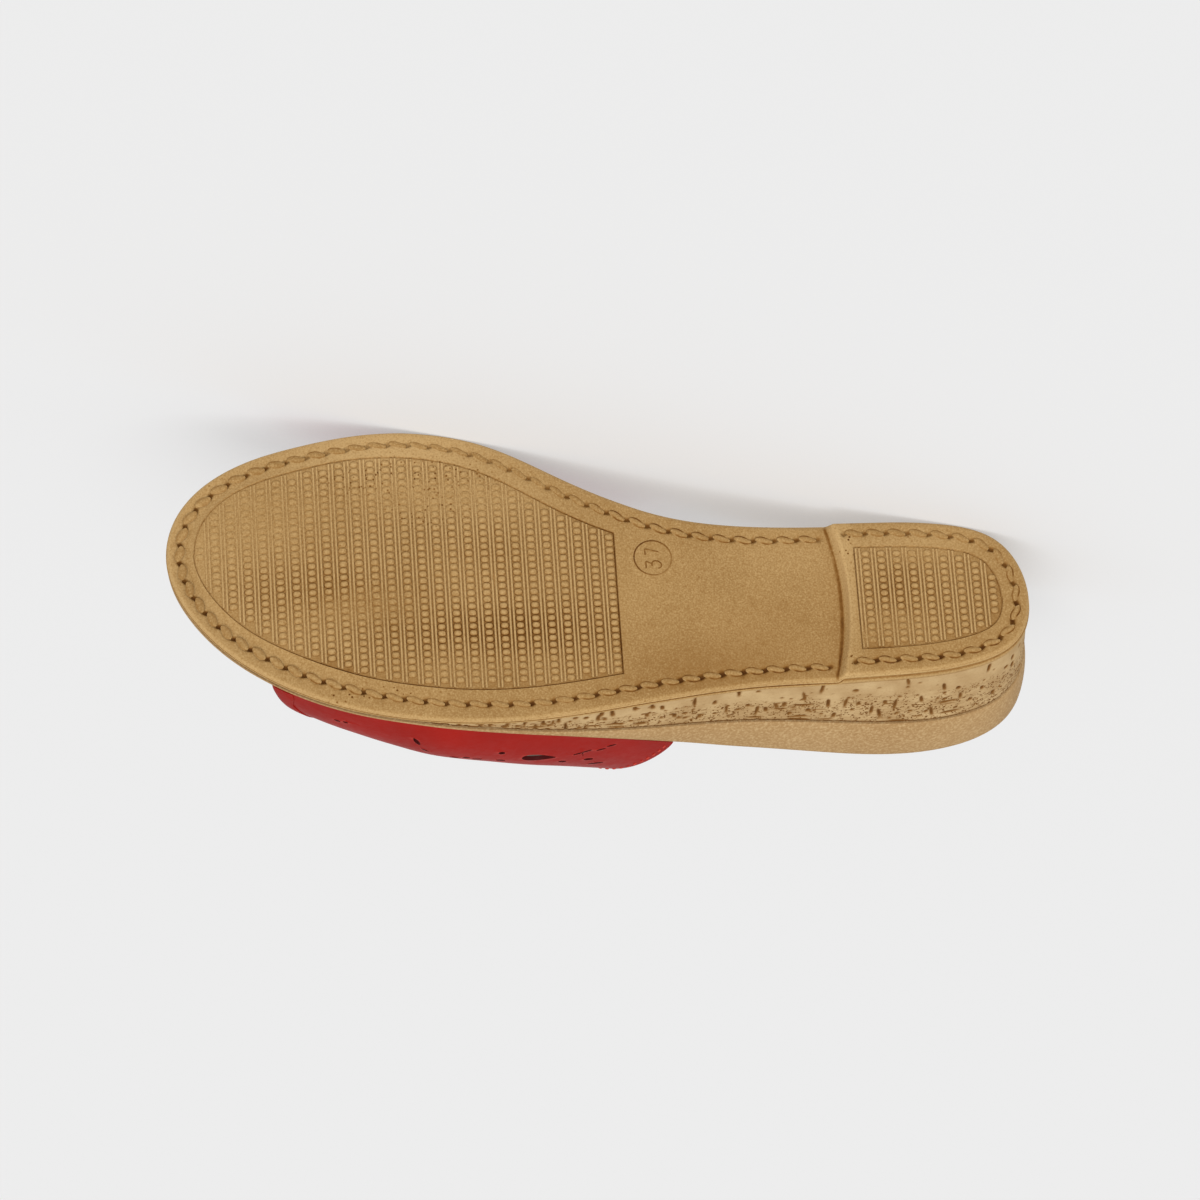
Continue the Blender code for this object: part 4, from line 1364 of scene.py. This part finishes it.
def sew(name, line, normals, pitch, thickness, colour_name):
    """Thread sewn along a line of points: stitches that dip at both ends and stand on its normals."""
    length = pitch - THREAD_GAP
    one = rod(6, thickness / 2, 4, length / 4)
    points = places(one)
    ends = (2 * points[:, 2] / length - 1) ** 4
    narrow = 1 - 0.35 * ends
    put(one, np.column_stack([points[:, 2] - length / 2, points[:, 0] * narrow,
                              points[:, 1] * narrow - 0.9 * thickness * ends]))
    along = distances(line)
    count = round(along[-1] / pitch)
    made = []
    for place in (np.arange(count) + 0.5) * along[-1] / count:
        here, before, after = (between(place + step, along, line) for step in (0.0, -0.5, 0.5))
        made.append(laid(one, here, after - before, Vector(between(place, along, normals)).normalized()))
    bpy.data.objects.remove(one)
    finish_piece(joined(name, made), thread_finish(colour_name))


def model_sock_stitching(footbed):
    """Thread sewn round the sock, a little inside its edge."""
    line = ring(SOCK_SIDE - mm(footbed.stitch_inset), SOCK_TOP)[::2]
    share = share_across(ring(SOCK_SIDE - SOCK_ROUND, SOCK_TOP)[::2], line)
    x, y = line[:, 0], line[:, 1]
    line[:, 2] += dish(x, share) + 0.08 - mm(footbed.print_depth) * pressed(FOOT, x, y)
    upright = np.tile((0.0, 0.0, 1.0), (len(line) + 1, 1))
    pitch = mm(footbed.stitch_pitch)
    sew("sock_stitching", closed(line), upright, pitch, SOCK_THREAD, "sock_thread")


# ------------------------------------------------------------------ strap
STRAP_FEET = halves(ring(RIM_SIDE - STRAP_INSET, 0.0))   # where its outer face leaves the rim


def strap_face(along, around):
    """Outer face of the strap: along from front to back, around from lateral to medial."""
    sweep = np.sin(np.pi * around).clip(0, 1)
    front = STRAP_FRONT - FRONT_SWEEP * sweep**FRONT_POWER
    x = front + (STRAP_BACK + BACK_SWEEP * sweep - front) * along
    lateral, medial = sides_at(STRAP_FEET, x)
    crown = (lateral + medial) / 2 + CROWN_SHIFT * (medial - lateral)
    outer = around <= 0.5
    power = 2.0 / np.where(outer, read(ARCH, "square_lateral", x), read(ARCH, "square_medial", x))
    bulge = np.where(outer, -read(ARCH, "bulge_lateral", x), read(ARCH, "bulge_medial", x))
    rise = sweep**power
    reach = np.abs(np.cos(np.pi * around)) ** power
    y = crown + (np.where(outer, lateral, medial) - crown) * reach + bulge * np.sin(np.pi * rise)
    return np.column_stack([x, y, layer("rim", x) + spring(x) + GAP + read(ARCH, "crown", x) * rise])


def strap_skin():
    """The strap's face and its outward normals at even steps round the foot."""
    around = np.linspace(0, 1, 1601)
    rows = []
    for along in np.linspace(0, 1, SKIN_ROWS + 1):
        face = strap_face(along, around)
        reached = distances(face)
        rows.append(between(np.linspace(0, reached[-1], SKIN_COLUMNS + 1), reached, face))
    face = np.array(rows)
    normals = np.cross(np.gradient(face, axis=1), np.gradient(face, axis=0))
    normals[:, (0, -1), 2] = 0.0
    normals /= np.linalg.norm(normals, axis=2)[:, :, None]
    if normals[0, SKIN_COLUMNS // 2, 2] < 0:
        normals = -normals
    flat_along = np.linspace(0, FLAT_LENGTH, SKIN_ROWS + 1)[:, None]
    flat_round = np.linspace(0, FLAT_GIRTH, SKIN_COLUMNS + 1)
    return face + normals * sum(patches(CREASES, flat_along, flat_round))[:, :, None], normals


SKIN, SKIN_NORMALS = strap_skin()


def sample(table, along, girth):
    """A value of the skin's table between its points."""
    row = np.clip(along, 0, 1) * SKIN_ROWS
    col = np.clip(girth, 0, 1) * SKIN_COLUMNS
    i = np.minimum(row.astype(int), SKIN_ROWS - 1)
    j = np.minimum(col.astype(int), SKIN_COLUMNS - 1)
    s, t = (row - i)[..., None], (col - j)[..., None]
    return ((table[i, j] * (1 - s) + table[i + 1, j] * s) * (1 - t)
            + (table[i, j + 1] * (1 - s) + table[i + 1, j + 1] * s) * t)


def on_strap(along, girth, depth):
    """Places on the strap, depth below its face."""
    along, girth = np.broadcast_arrays(np.asarray(along, dtype=float), np.asarray(girth, dtype=float))
    normals = sample(SKIN_NORMALS, along, girth)
    normals /= np.linalg.norm(normals, axis=-1)[..., None]
    return sample(SKIN, along, girth) - normals * np.broadcast_to(depth, along.shape)[..., None]


def strap_scale(along, girth):
    """Millimetres of the strap for a whole step along and a whole step round, at a place."""
    around = [np.array([max(0.0, value - 0.02), min(1.0, value + 0.02)]) for value in (along, girth)]
    pairs = on_strap(around[0], girth, 0), on_strap(along, around[1], 0)
    return [np.linalg.norm(pair[1] - pair[0]) / (ends[1] - ends[0]) for pair, ends in zip(pairs, around)]


def hole_outline(along, girth, length, width, turn, kind):
    """Outline of a punched hole on the flat strap, in shares along and round the foot."""
    t = np.linspace(0, 2 * math.pi, 12 if kind == "dot" else 18, endpoint=False)
    across = np.sin(t) * (np.abs(np.sin(t)) ** 0.7 if kind == "leaf" else 1.0)
    if kind == "wedge":
        across *= 1 - 0.55 * np.cos(t)
    x, y = turned(np.cos(t) * length / 2, across * width / 2, math.radians(turn))
    per_along, per_girth = strap_scale(along, girth)
    return np.column_stack([along + x / per_along, girth + y / per_girth])


def stem(forward):
    """How far a spray's stem bows sideways on its way forward."""
    return 0.09 * forward**1.5


def spray_holes(along, girth, heading):
    """A punched spray: a bowed stem of small dots, leaves by turns and three berries."""
    per_along, per_girth = strap_scale(along, girth)
    marks = [(3.2 * k, stem(3.2 * k), 1.9, 0.9, 8 * k, "dot") for k in range(5)]
    for k, (forward, way) in enumerate(((3.0, -1), (6.5, 1), (10.5, -1))):
        marks.append((forward + 2.2, stem(forward) + way * 4.2, 7.0 - k, 2.9 - 0.3 * k, way * 42, "leaf"))
    for forward, side in ((17.0, 4.2), (17.6, 7.6), (15.2, 9.2)):
        marks.append((forward, side, 1.9, 1.9, 0, "dot"))
    holes = []
    for forward, side, length, width, turn, kind in marks:
        x, y = turned(forward, side, math.radians(heading))
        holes.append((along + x / per_along, girth + y / per_girth, length, width, heading + turn, kind))
    return holes


def cut_flat_strap():
    """The strap's leather cut flat: outline and punched holes filled, then scored into small fields."""
    deselect()
    bpy.ops.mesh.primitive_plane_add(size=1, enter_editmode=True)
    piece = bpy.context.object
    bpy.ops.mesh.select_all(action="SELECT")
    bpy.ops.transform.translate(value=(0.5, 0.5, 0))
    bpy.ops.mesh.delete(type="ONLY_FACE")
    for hole in (*LATERAL_HOLES, *(hole for spray in SPRAYS for hole in spray_holes(*spray))):
        outline = hole_outline(*hole)
        bpy.ops.mesh.select_all(action="DESELECT")
        bpy.ops.mesh.primitive_circle_add(vertices=len(outline), radius=0.01)
        mesh = bmesh.from_edit_mesh(piece.data)
        for vert, (along, girth) in zip([vert for vert in mesh.verts if vert.select], outline):
            vert.co = (along, girth, 0)
        bmesh.update_edit_mesh(piece.data)
    bpy.ops.mesh.select_all(action="SELECT")
    bpy.ops.mesh.fill(use_beauty=True)
    for size, field, axis in ((FLAT_LENGTH, SCORE_ALONG, (1, 0, 0)), (FLAT_GIRTH, SCORE_ROUND, (0, 1, 0))):
        fields = round(size / field)
        for k in range(1, fields):
            bpy.ops.mesh.select_all(action="SELECT")
            bpy.ops.mesh.bisect(plane_co=[part * k / fields for part in axis], plane_no=axis)
    bpy.ops.object.mode_set(mode="OBJECT")
    return piece


def punched_rims(leather):
    """1 at the corners of the leather's punched holes and 0 elsewhere."""
    mesh = bmesh.new()
    mesh.from_mesh(leather.data)
    inner = [all(0.001 < value < 0.999 for value in vert.co[:2]) and vert.is_boundary for vert in mesh.verts]
    mesh.free()
    return np.array(inner, dtype=float)


def paint_cut_walls(leather, skins):
    """Mark the holes' walls, the faces that the leather has after its two skins, for their painted shade."""
    rim = leather.data.attributes["rim"].data
    cut = []
    for face in leather.data.polygons:
        cut.append(face.index >= skins and all(rim[corner].value > 0.9 for corner in face.vertices))
    paint(leather, "cut", cut, "FACE")


def model_strap(strap):
    """Punched leather lasted over a plain lining."""
    leather = cut_flat_strap()
    leather.name = "strap_leather"
    along, girth = places(leather)[:, :2].T
    rim = punched_rims(leather)
    put(leather, on_strap(along, girth, -PUCKER * rim))
    paint(leather, "rim", rim)
    edit(leather)
    end_edit()
    if max(leather.data.polygons, key=lambda face: face.center.z).normal.z < 0:
        leather.data.flip_normals()
    skins = 2 * len(leather.data.polygons)
    apply_modifier(leather, "SOLIDIFY", thickness=mm(strap.leather), offset=-1, use_even_offset=True)
    # the holes' walls are marked for painted shade
    paint_cut_walls(leather, skins)
    finish_piece(leather, leather_finish(), ["upper"], angle=40)
    flat = np.meshgrid(np.linspace(0.002, 0.998, 50), np.linspace(0, 1, 110), indexing="ij")
    outer = on_strap(*flat, mm(strap.leather) + LINING_GAP)
    inner = on_strap(*flat, STRAP_THICKNESS)
    sheets = [outer, inner]
    for edge in (np.s_[0], np.s_[-1], np.s_[:, 0], np.s_[:, -1]):
        sheets.append(np.array([outer[edge], inner[edge]]))
    lining = weld("strap_lining", *[grid("lining_sheet", sheet) for sheet in sheets])
    finish_piece(lining, lining_finish(), ["upper"])


def model_binding():
    """Strip of leather folded round the strap's front edge."""
    girth = np.linspace(0.0, 1.0, 150)
    inwards = 0.04
    front, behind = on_strap(0.0, girth, 0), on_strap(inwards, girth, 0)
    step = np.linalg.norm(behind - front, axis=1)
    ahead = (front - behind) / step[:, None]
    width = np.interp(np.minimum(girth, 1 - girth), (0.02, 0.06), (1.0, FLAP_WIDTH))
    columns = []
    for distance, depth in BINDING_PROFILE:
        inside = np.where(distance > BINDING_FLAP, distance * width, max(distance, 0.0))
        columns.append(on_strap(inside / (step / inwards), girth, depth) + ahead * max(-distance, 0.0))
    piece = weld("strap_binding", grid("binding", np.array(columns)))
    edit(piece)
    bpy.ops.mesh.select_all(action="DESELECT")
    bpy.ops.mesh.select_non_manifold(extend=False)
    bpy.ops.mesh.edge_face_add()
    end_edit()
    finish_piece(piece, leather_finish())


def model_topstitch(strap):
    """Thread sewn along the strap's back edge."""
    girth = np.linspace(0.012, 0.988, 240)
    along = 1 - mm(strap.stitch_inset) / np.array([strap_scale(0.98, value)[0] for value in girth])
    normals = sample(SKIN_NORMALS, along, girth)
    line = on_strap(along, girth, 0.0)
    sew("strap_topstitch", line, normals, mm(strap.stitch_pitch), STRAP_THREAD, "strap_thread")


# ------------------------------------------------------------------ stage
def look_from(stage):
    """Place of the camera: right, up and backward axes and its position."""
    toe, side = stage.toe_tilt, stage.side_tilt
    away = Vector((math.sin(toe), -math.cos(toe) * math.sin(side), -math.cos(toe) * math.cos(side)))
    level = Vector((-1, 0, 0))
    level = (level - away * level.dot(away)).normalized()
    right = Matrix.Rotation(stage.roll, 3, away) @ level
    turn = REST.to_3x3().normalized()
    aim = REST @ Vector(mm(value) for value in stage.aim)
    axes = Matrix((turn @ right, turn @ away.cross(right), turn @ away)).transposed()
    return Matrix.Translation(aim + turn @ away * stage.distance) @ axes.to_4x4()


def model_stage(stage):
    """Pale floor that glows softly, one broad light, pale surroundings and the camera."""
    deselect()
    bpy.ops.mesh.primitive_plane_add(size=12, location=(0, 0, 0))
    floor = bpy.context.object
    floor.name = "floor"
    white = (1.0, 1.0, 1.0, 1.0)
    paint_coat = Finish("floor_paint", 0.9, 0.1, Emission_Color=white, Emission_Strength=stage.glow)
    floor.data.materials.append(paint_coat.done((*stage.floor, 1.0)))
    scene = bpy.context.scene
    scene.world = bpy.data.worlds.new("surroundings")
    scene.world.use_nodes = True
    surroundings = scene.world.node_tree.nodes["Background"].inputs
    surroundings["Color"].default_value = white
    surroundings["Strength"].default_value = stage.surroundings
    key = bpy.data.lights.new("key", "SUN")
    key.energy = stage.key
    key.angle = stage.key_spread
    sun = bpy.data.objects.new("key", key)
    sun.rotation_euler = Vector((0.0, 0.74, -0.67)).to_track_quat("-Z", "Y").to_euler()
    lens = bpy.data.cameras.new("camera")
    lens.lens = stage.lens
    lens.sensor_width = 36.0
    lens.clip_end = 20.0
    camera = bpy.data.objects.new("camera", lens)
    camera.matrix_world = look_from(stage)
    for made in (sun, camera):
        bpy.context.collection.objects.link(made)
    scene.camera = camera
    scene.view_settings.view_transform = "Standard"


# ------------------------------------------------------------------ add-on
def number(name, description, value, **more):
    """A number property."""
    return FloatProperty(name=name, description=description, default=value, **more)


def length(name, description, value):
    """A length property given in millimetres."""
    return number(name, description, value * MM, unit="LENGTH", precision=5)


def angle(name, description, value):
    """An angle property given in degrees."""
    return number(name, description, math.radians(value), subtype="ANGLE")


def whole(name, description, value):
    """A whole number property."""
    return IntProperty(name=name, description=description, default=value)


def spot(name, description, value):
    """A place in the shoe's own frame, in metres."""
    return FloatVectorProperty(name=name, description=description, default=value, subtype="XYZ",
                               unit="LENGTH", precision=5)


def colour(name, description, value):
    """A colour property."""
    return FloatVectorProperty(name=name, description=description, default=value, subtype="COLOR", min=0.0,
                               max=1.0)


class SandalTread(bpy.types.PropertyGroup):
    """Sizes of the tread's moulding."""
    row_pitch: length("Row pitch", "From one row of studs to the next", 4.476)
    stud_pitch: length("Stud pitch", "From one stud to the next in a row", 2.076)
    stud_length: length("Stud length", "Of a stud's foot from heel to toe", 2.55)
    stud_width: length("Stud width", "Of a stud's foot across the sole", 2.02)
    stud_height: length("Stud height", "Of a stud above its panel", 0.46)
    rib_width: length("Rib width", "Across a rib's foot", 0.78)
    rib_height: length("Rib height", "Of a rib above its panel", 0.42)
    rib_gap: length("Rib gap", "Between the two ribs of a pair", 1.04)
    forepart_row: length("Forepart row", "First row of studs from the heel's back", 124.924)
    forepart_stud: length("Forepart stud", "Place of a stud across the forepart", -22.4)
    heel_row: length("Heel row", "First row of studs behind the heel breast", 51.5)
    heel_stud: length("Heel stud", "Place of a stud across the heel", -10.8)
    panel_depth: length("Panel depth", "Of a studded panel below the margin", 0.36)
    groove_depth: length("Groove depth", "Of the groove round a panel", 0.52)
    lip_width: length("Lip width", "Height of the moulded lip and its groove on the edge band", 3.3)
    stitch_pitch: length("Stitch pitch", "From one stitch hole to the next, behind the ball", 6.13)
    stitch_width: length("Stitch width", "Across a moulded stitch", 2.7)
    stitch_slant: length("Stitch slant", "Of a stitch's ends to either side of its line", 0.48)
    channel_depth: length("Channel depth", "Of the shallow channel that the stitches lie in", 0.05)
    hole_depth: length("Hole depth", "Of a stitch hole", 0.75)


class SandalSizeMark(bpy.types.PropertyGroup):
    """Ring and number on the waist."""
    centre: spot("Centre", "Middle of the ring on the sole", (0.1127, 0.0040, 0.0))
    radius: length("Radius", "Of the ring", 5.40)
    line: length("Line", "Width of the moulded lines", 0.42)
    height: length("Height", "Of the moulded lines", 0.10)


class SandalCork(bpy.types.PropertyGroup):
    """Pits of the cork effect."""
    seed: whole("Seed", "Order of the pits", 7)
    dashes: whole("Dashes", "Upright dashes all over", 230)
    cracks: whole("Cracks", "Long cracks near the rim", 110)
    specks: whole("Specks", "Small pits, most of them near the rim", 600)
    pit_depth: length("Pit depth", "Of the deepest pits", 0.6)


class SandalFootbed(bpy.types.PropertyGroup):
    """Sock and its sewing."""
    print_depth: length("Print depth", "Of the pressed-in footprint", 0.6)
    stitch_inset: length("Stitch inset", "From the sock's edge to its stitches", 2.6)
    stitch_pitch: length("Stitch pitch", "From one sewn stitch to the next", 3.2)


class SandalStrap(bpy.types.PropertyGroup):
    """Leather and sewing of the strap."""
    leather: length("Leather", "Thickness of the punched leather", 1.2)
    stitch_inset: length("Stitch inset", "From the strap's back edge to its stitches", 1.7)
    stitch_pitch: length("Stitch pitch", "From one sewn stitch to the next", 2.8)


class SandalColours(bpy.types.PropertyGroup):
    """Colours of the finishes."""
    rubber: colour("Rubber", "Tan rubber", (0.402, 0.238, 0.087))
    rubber_shade: colour("Rubber shade", "Cloudy darker tone of the rubber", (0.335, 0.190, 0.064))
    # also the painted highlights of the tread
    rubber_pale_and_highlight: colour("Rubber light", "Light grain of the rubber", (0.56, 0.368, 0.160))
    # also the painted shade of shallow hollows
    stain_and_shade: colour("Stain", "Yellow-brown stain at the edge of hollows", (0.235, 0.103, 0.019))
    # also the painted shade in the hollows
    grime_and_shading: colour("Grime", "Brown dirt in hollows", (0.100, 0.033, 0.004))
    cork: colour("Cork", "Cream tone of the cork effect", (0.545, 0.378, 0.188))
    cork_shade: colour("Cork shade", "Cloudy darker tone of the cork", (0.43, 0.275, 0.125))
    cork_streak: colour("Cork streak", "Streaks of the cork", (0.30, 0.165, 0.060))
    cork_stain: colour("Cork stain", "Soft brown of the cork's small pits", (0.205, 0.088, 0.018))
    cork_pit: colour("Cork pit", "Deepest pits of the cork", (0.100, 0.036, 0.006))
    rim: colour("Rim", "Tan rim of the footbed", (0.440, 0.275, 0.122))
    rim_shade: colour("Rim shade", "Cloudy darker tone of the rim", (0.395, 0.238, 0.100))
    sock: colour("Sock", "Leather of the sock", (0.50, 0.31, 0.155))
    sock_shade: colour("Sock shade", "Cloudy darker tone of the sock", (0.42, 0.25, 0.115))
    sock_worn: colour("Sock worn", "Where the foot has darkened the sock", (0.28, 0.155, 0.07))
    sock_thread: colour("Sock thread", "Thread of the sock", (0.62, 0.46, 0.27))
    leather: colour("Leather", "Red leather of the strap", (0.338, 0.009, 0.004))
    leather_shade: colour("Leather shade", "Darker tone of the red leather", (0.270, 0.008, 0.004))
    # rubbed wear and painted highlight on the holes' edges
    leather_edge_wear_and_highlight: colour("Leather edge", "Rubbed edges of the punched holes", (0.46, 0.055, 0.040))
    # painted shade inside the punched holes
    leather_hole_shade: colour("Leather cut", "Cut walls of the punched holes", (0.075, 0.008, 0.008))
    strap_thread: colour("Strap thread", "Thread of the strap", (0.62, 0.045, 0.022))
    lining: colour("Lining", "Lining of the strap", (0.20, 0.155, 0.125))
    lining_shade: colour("Lining shade", "Darker tone of the lining", (0.13, 0.097, 0.075))


class SandalStage(bpy.types.PropertyGroup):
    """Camera, lights and floor."""
    distance: number("Distance", "From the camera to its aim", 1.756, unit="LENGTH")
    lens: number("Lens", "Focal length in millimetres", 185.55)
    side_tilt: angle("Side tilt", "Of the view towards the lateral side", 24.724)
    toe_tilt: angle("Toe tilt", "Of the view towards the toe", 6.023)
    roll: angle("Roll", "Of the camera about its own axis", -1.295)
    aim: spot("Aim", "Point of the tread that the camera looks at", (0.12871, -0.00905, 0.0))
    key: number("Key", "Strength of the front light", 1.85)
    key_spread: angle("Key spread", "Breadth of the front light", 50.0)
    surroundings: number("Surroundings", "Brightness of the surroundings", 0.632)
    floor: colour("Floor", "Pale paint of the floor", (0.41, 0.41, 0.41))
    glow: number("Glow", "Light that comes through the floor, as through a light table", 0.42)


class SANDAL_OT_tread_unit(bpy.types.Operator):
    """Model the tread unit with its edge band, margin, panels and heel lift"""
    bl_idname = "sandal.tread_unit"
    bl_label = "Tread Unit"

    def execute(self, context):
        model_tread_unit(context.scene.sandal_tread)
        return {"FINISHED"}


class SANDAL_OT_studs(bpy.types.Operator):
    """Model the studs of both panels"""
    bl_idname = "sandal.studs"
    bl_label = "Studs"

    def execute(self, context):
        for heel in (False, True):
            model_studs(context.scene.sandal_tread, heel)
        return {"FINISHED"}


class SANDAL_OT_ribs(bpy.types.Operator):
    """Model the fine ribs between the rows of studs"""
    bl_idname = "sandal.ribs"
    bl_label = "Ribs"

    def execute(self, context):
        for heel in (False, True):
            model_ribs(context.scene.sandal_tread, heel)
        return {"FINISHED"}


class SANDAL_OT_stitches(bpy.types.Operator):
    """Model the moulded chain of stitches round the tread"""
    bl_idname = "sandal.stitches"
    bl_label = "Moulded Stitches"

    def execute(self, context):
        model_stitches(context.scene.sandal_tread)
        return {"FINISHED"}


class SANDAL_OT_size_mark(bpy.types.Operator):
    """Model the ring and the size number on the waist"""
    bl_idname = "sandal.size_mark"
    bl_label = "Size Mark"

    def execute(self, context):
        model_size_mark(context.scene.sandal_size_mark)
        return {"FINISHED"}


class SANDAL_OT_cork(bpy.types.Operator):
    """Model the pitted cork wedge"""
    bl_idname = "sandal.cork"
    bl_label = "Cork Wedge"

    def execute(self, context):
        model_cork(context.scene.sandal_cork)
        return {"FINISHED"}


class SANDAL_OT_footbed(bpy.types.Operator):
    """Model the footbed with its rim, the sock and the sock's stitching"""
    bl_idname = "sandal.footbed"
    bl_label = "Footbed and Sock"

    def execute(self, context):
        model_rim()
        model_sock(context.scene.sandal_footbed)
        model_sock_stitching(context.scene.sandal_footbed)
        return {"FINISHED"}


class SANDAL_OT_strap(bpy.types.Operator):
    """Model the punched strap with its lining, front binding and back stitching"""
    bl_idname = "sandal.strap"
    bl_label = "Strap"

    def execute(self, context):
        model_strap(context.scene.sandal_strap)
        model_binding()
        model_topstitch(context.scene.sandal_strap)
        return {"FINISHED"}


class SANDAL_OT_stage(bpy.types.Operator):
    """Set up the floor, the lights and the camera"""
    bl_idname = "sandal.stage"
    bl_label = "Stage"

    def execute(self, context):
        model_stage(context.scene.sandal_stage)
        return {"FINISHED"}


class SANDAL_PT_pieces(bpy.types.Panel):
    """Pieces of the sandal, in the order in which they are made"""
    bl_idname = "SANDAL_PT_pieces"
    bl_label = "Slide Sandal"
    bl_space_type = "VIEW_3D"
    bl_region_type = "UI"
    bl_category = "Sandal"

    def draw(self, context):
        for operator in OPERATORS:
            self.layout.operator(operator.bl_idname)
        for group_name, kind in GROUPS.items():
            box = self.layout.box()
            for name in kind.__annotations__:
                box.prop(getattr(context.scene, group_name), name)


OPERATORS = (SANDAL_OT_tread_unit, SANDAL_OT_studs, SANDAL_OT_ribs, SANDAL_OT_stitches, SANDAL_OT_size_mark,
             SANDAL_OT_cork, SANDAL_OT_footbed, SANDAL_OT_strap, SANDAL_OT_stage)
GROUPS = {"sandal_tread": SandalTread, "sandal_size_mark": SandalSizeMark, "sandal_cork": SandalCork,
          "sandal_footbed": SandalFootbed, "sandal_strap": SandalStrap, "sandal_colours": SandalColours,
          "sandal_stage": SandalStage}


def register():
    """Register the classes and give the scene its groups of properties."""
    for made in (*GROUPS.values(), *OPERATORS, SANDAL_PT_pieces):
        bpy.utils.register_class(made)
    for name, group in GROUPS.items():
        setattr(bpy.types.Scene, name, PointerProperty(type=group))


def unregister():
    """Undo what register does."""
    for name in GROUPS:
        delattr(bpy.types.Scene, name)
    for made in reversed((*GROUPS.values(), *OPERATORS, SANDAL_PT_pieces)):
        bpy.utils.unregister_class(made)


def main():
    """Make every piece and the stage."""
    register()
    for operator in OPERATORS:
        area, name = operator.bl_idname.split(".")
        getattr(getattr(bpy.ops, area), name)()


if __name__ == "__main__":
    main()
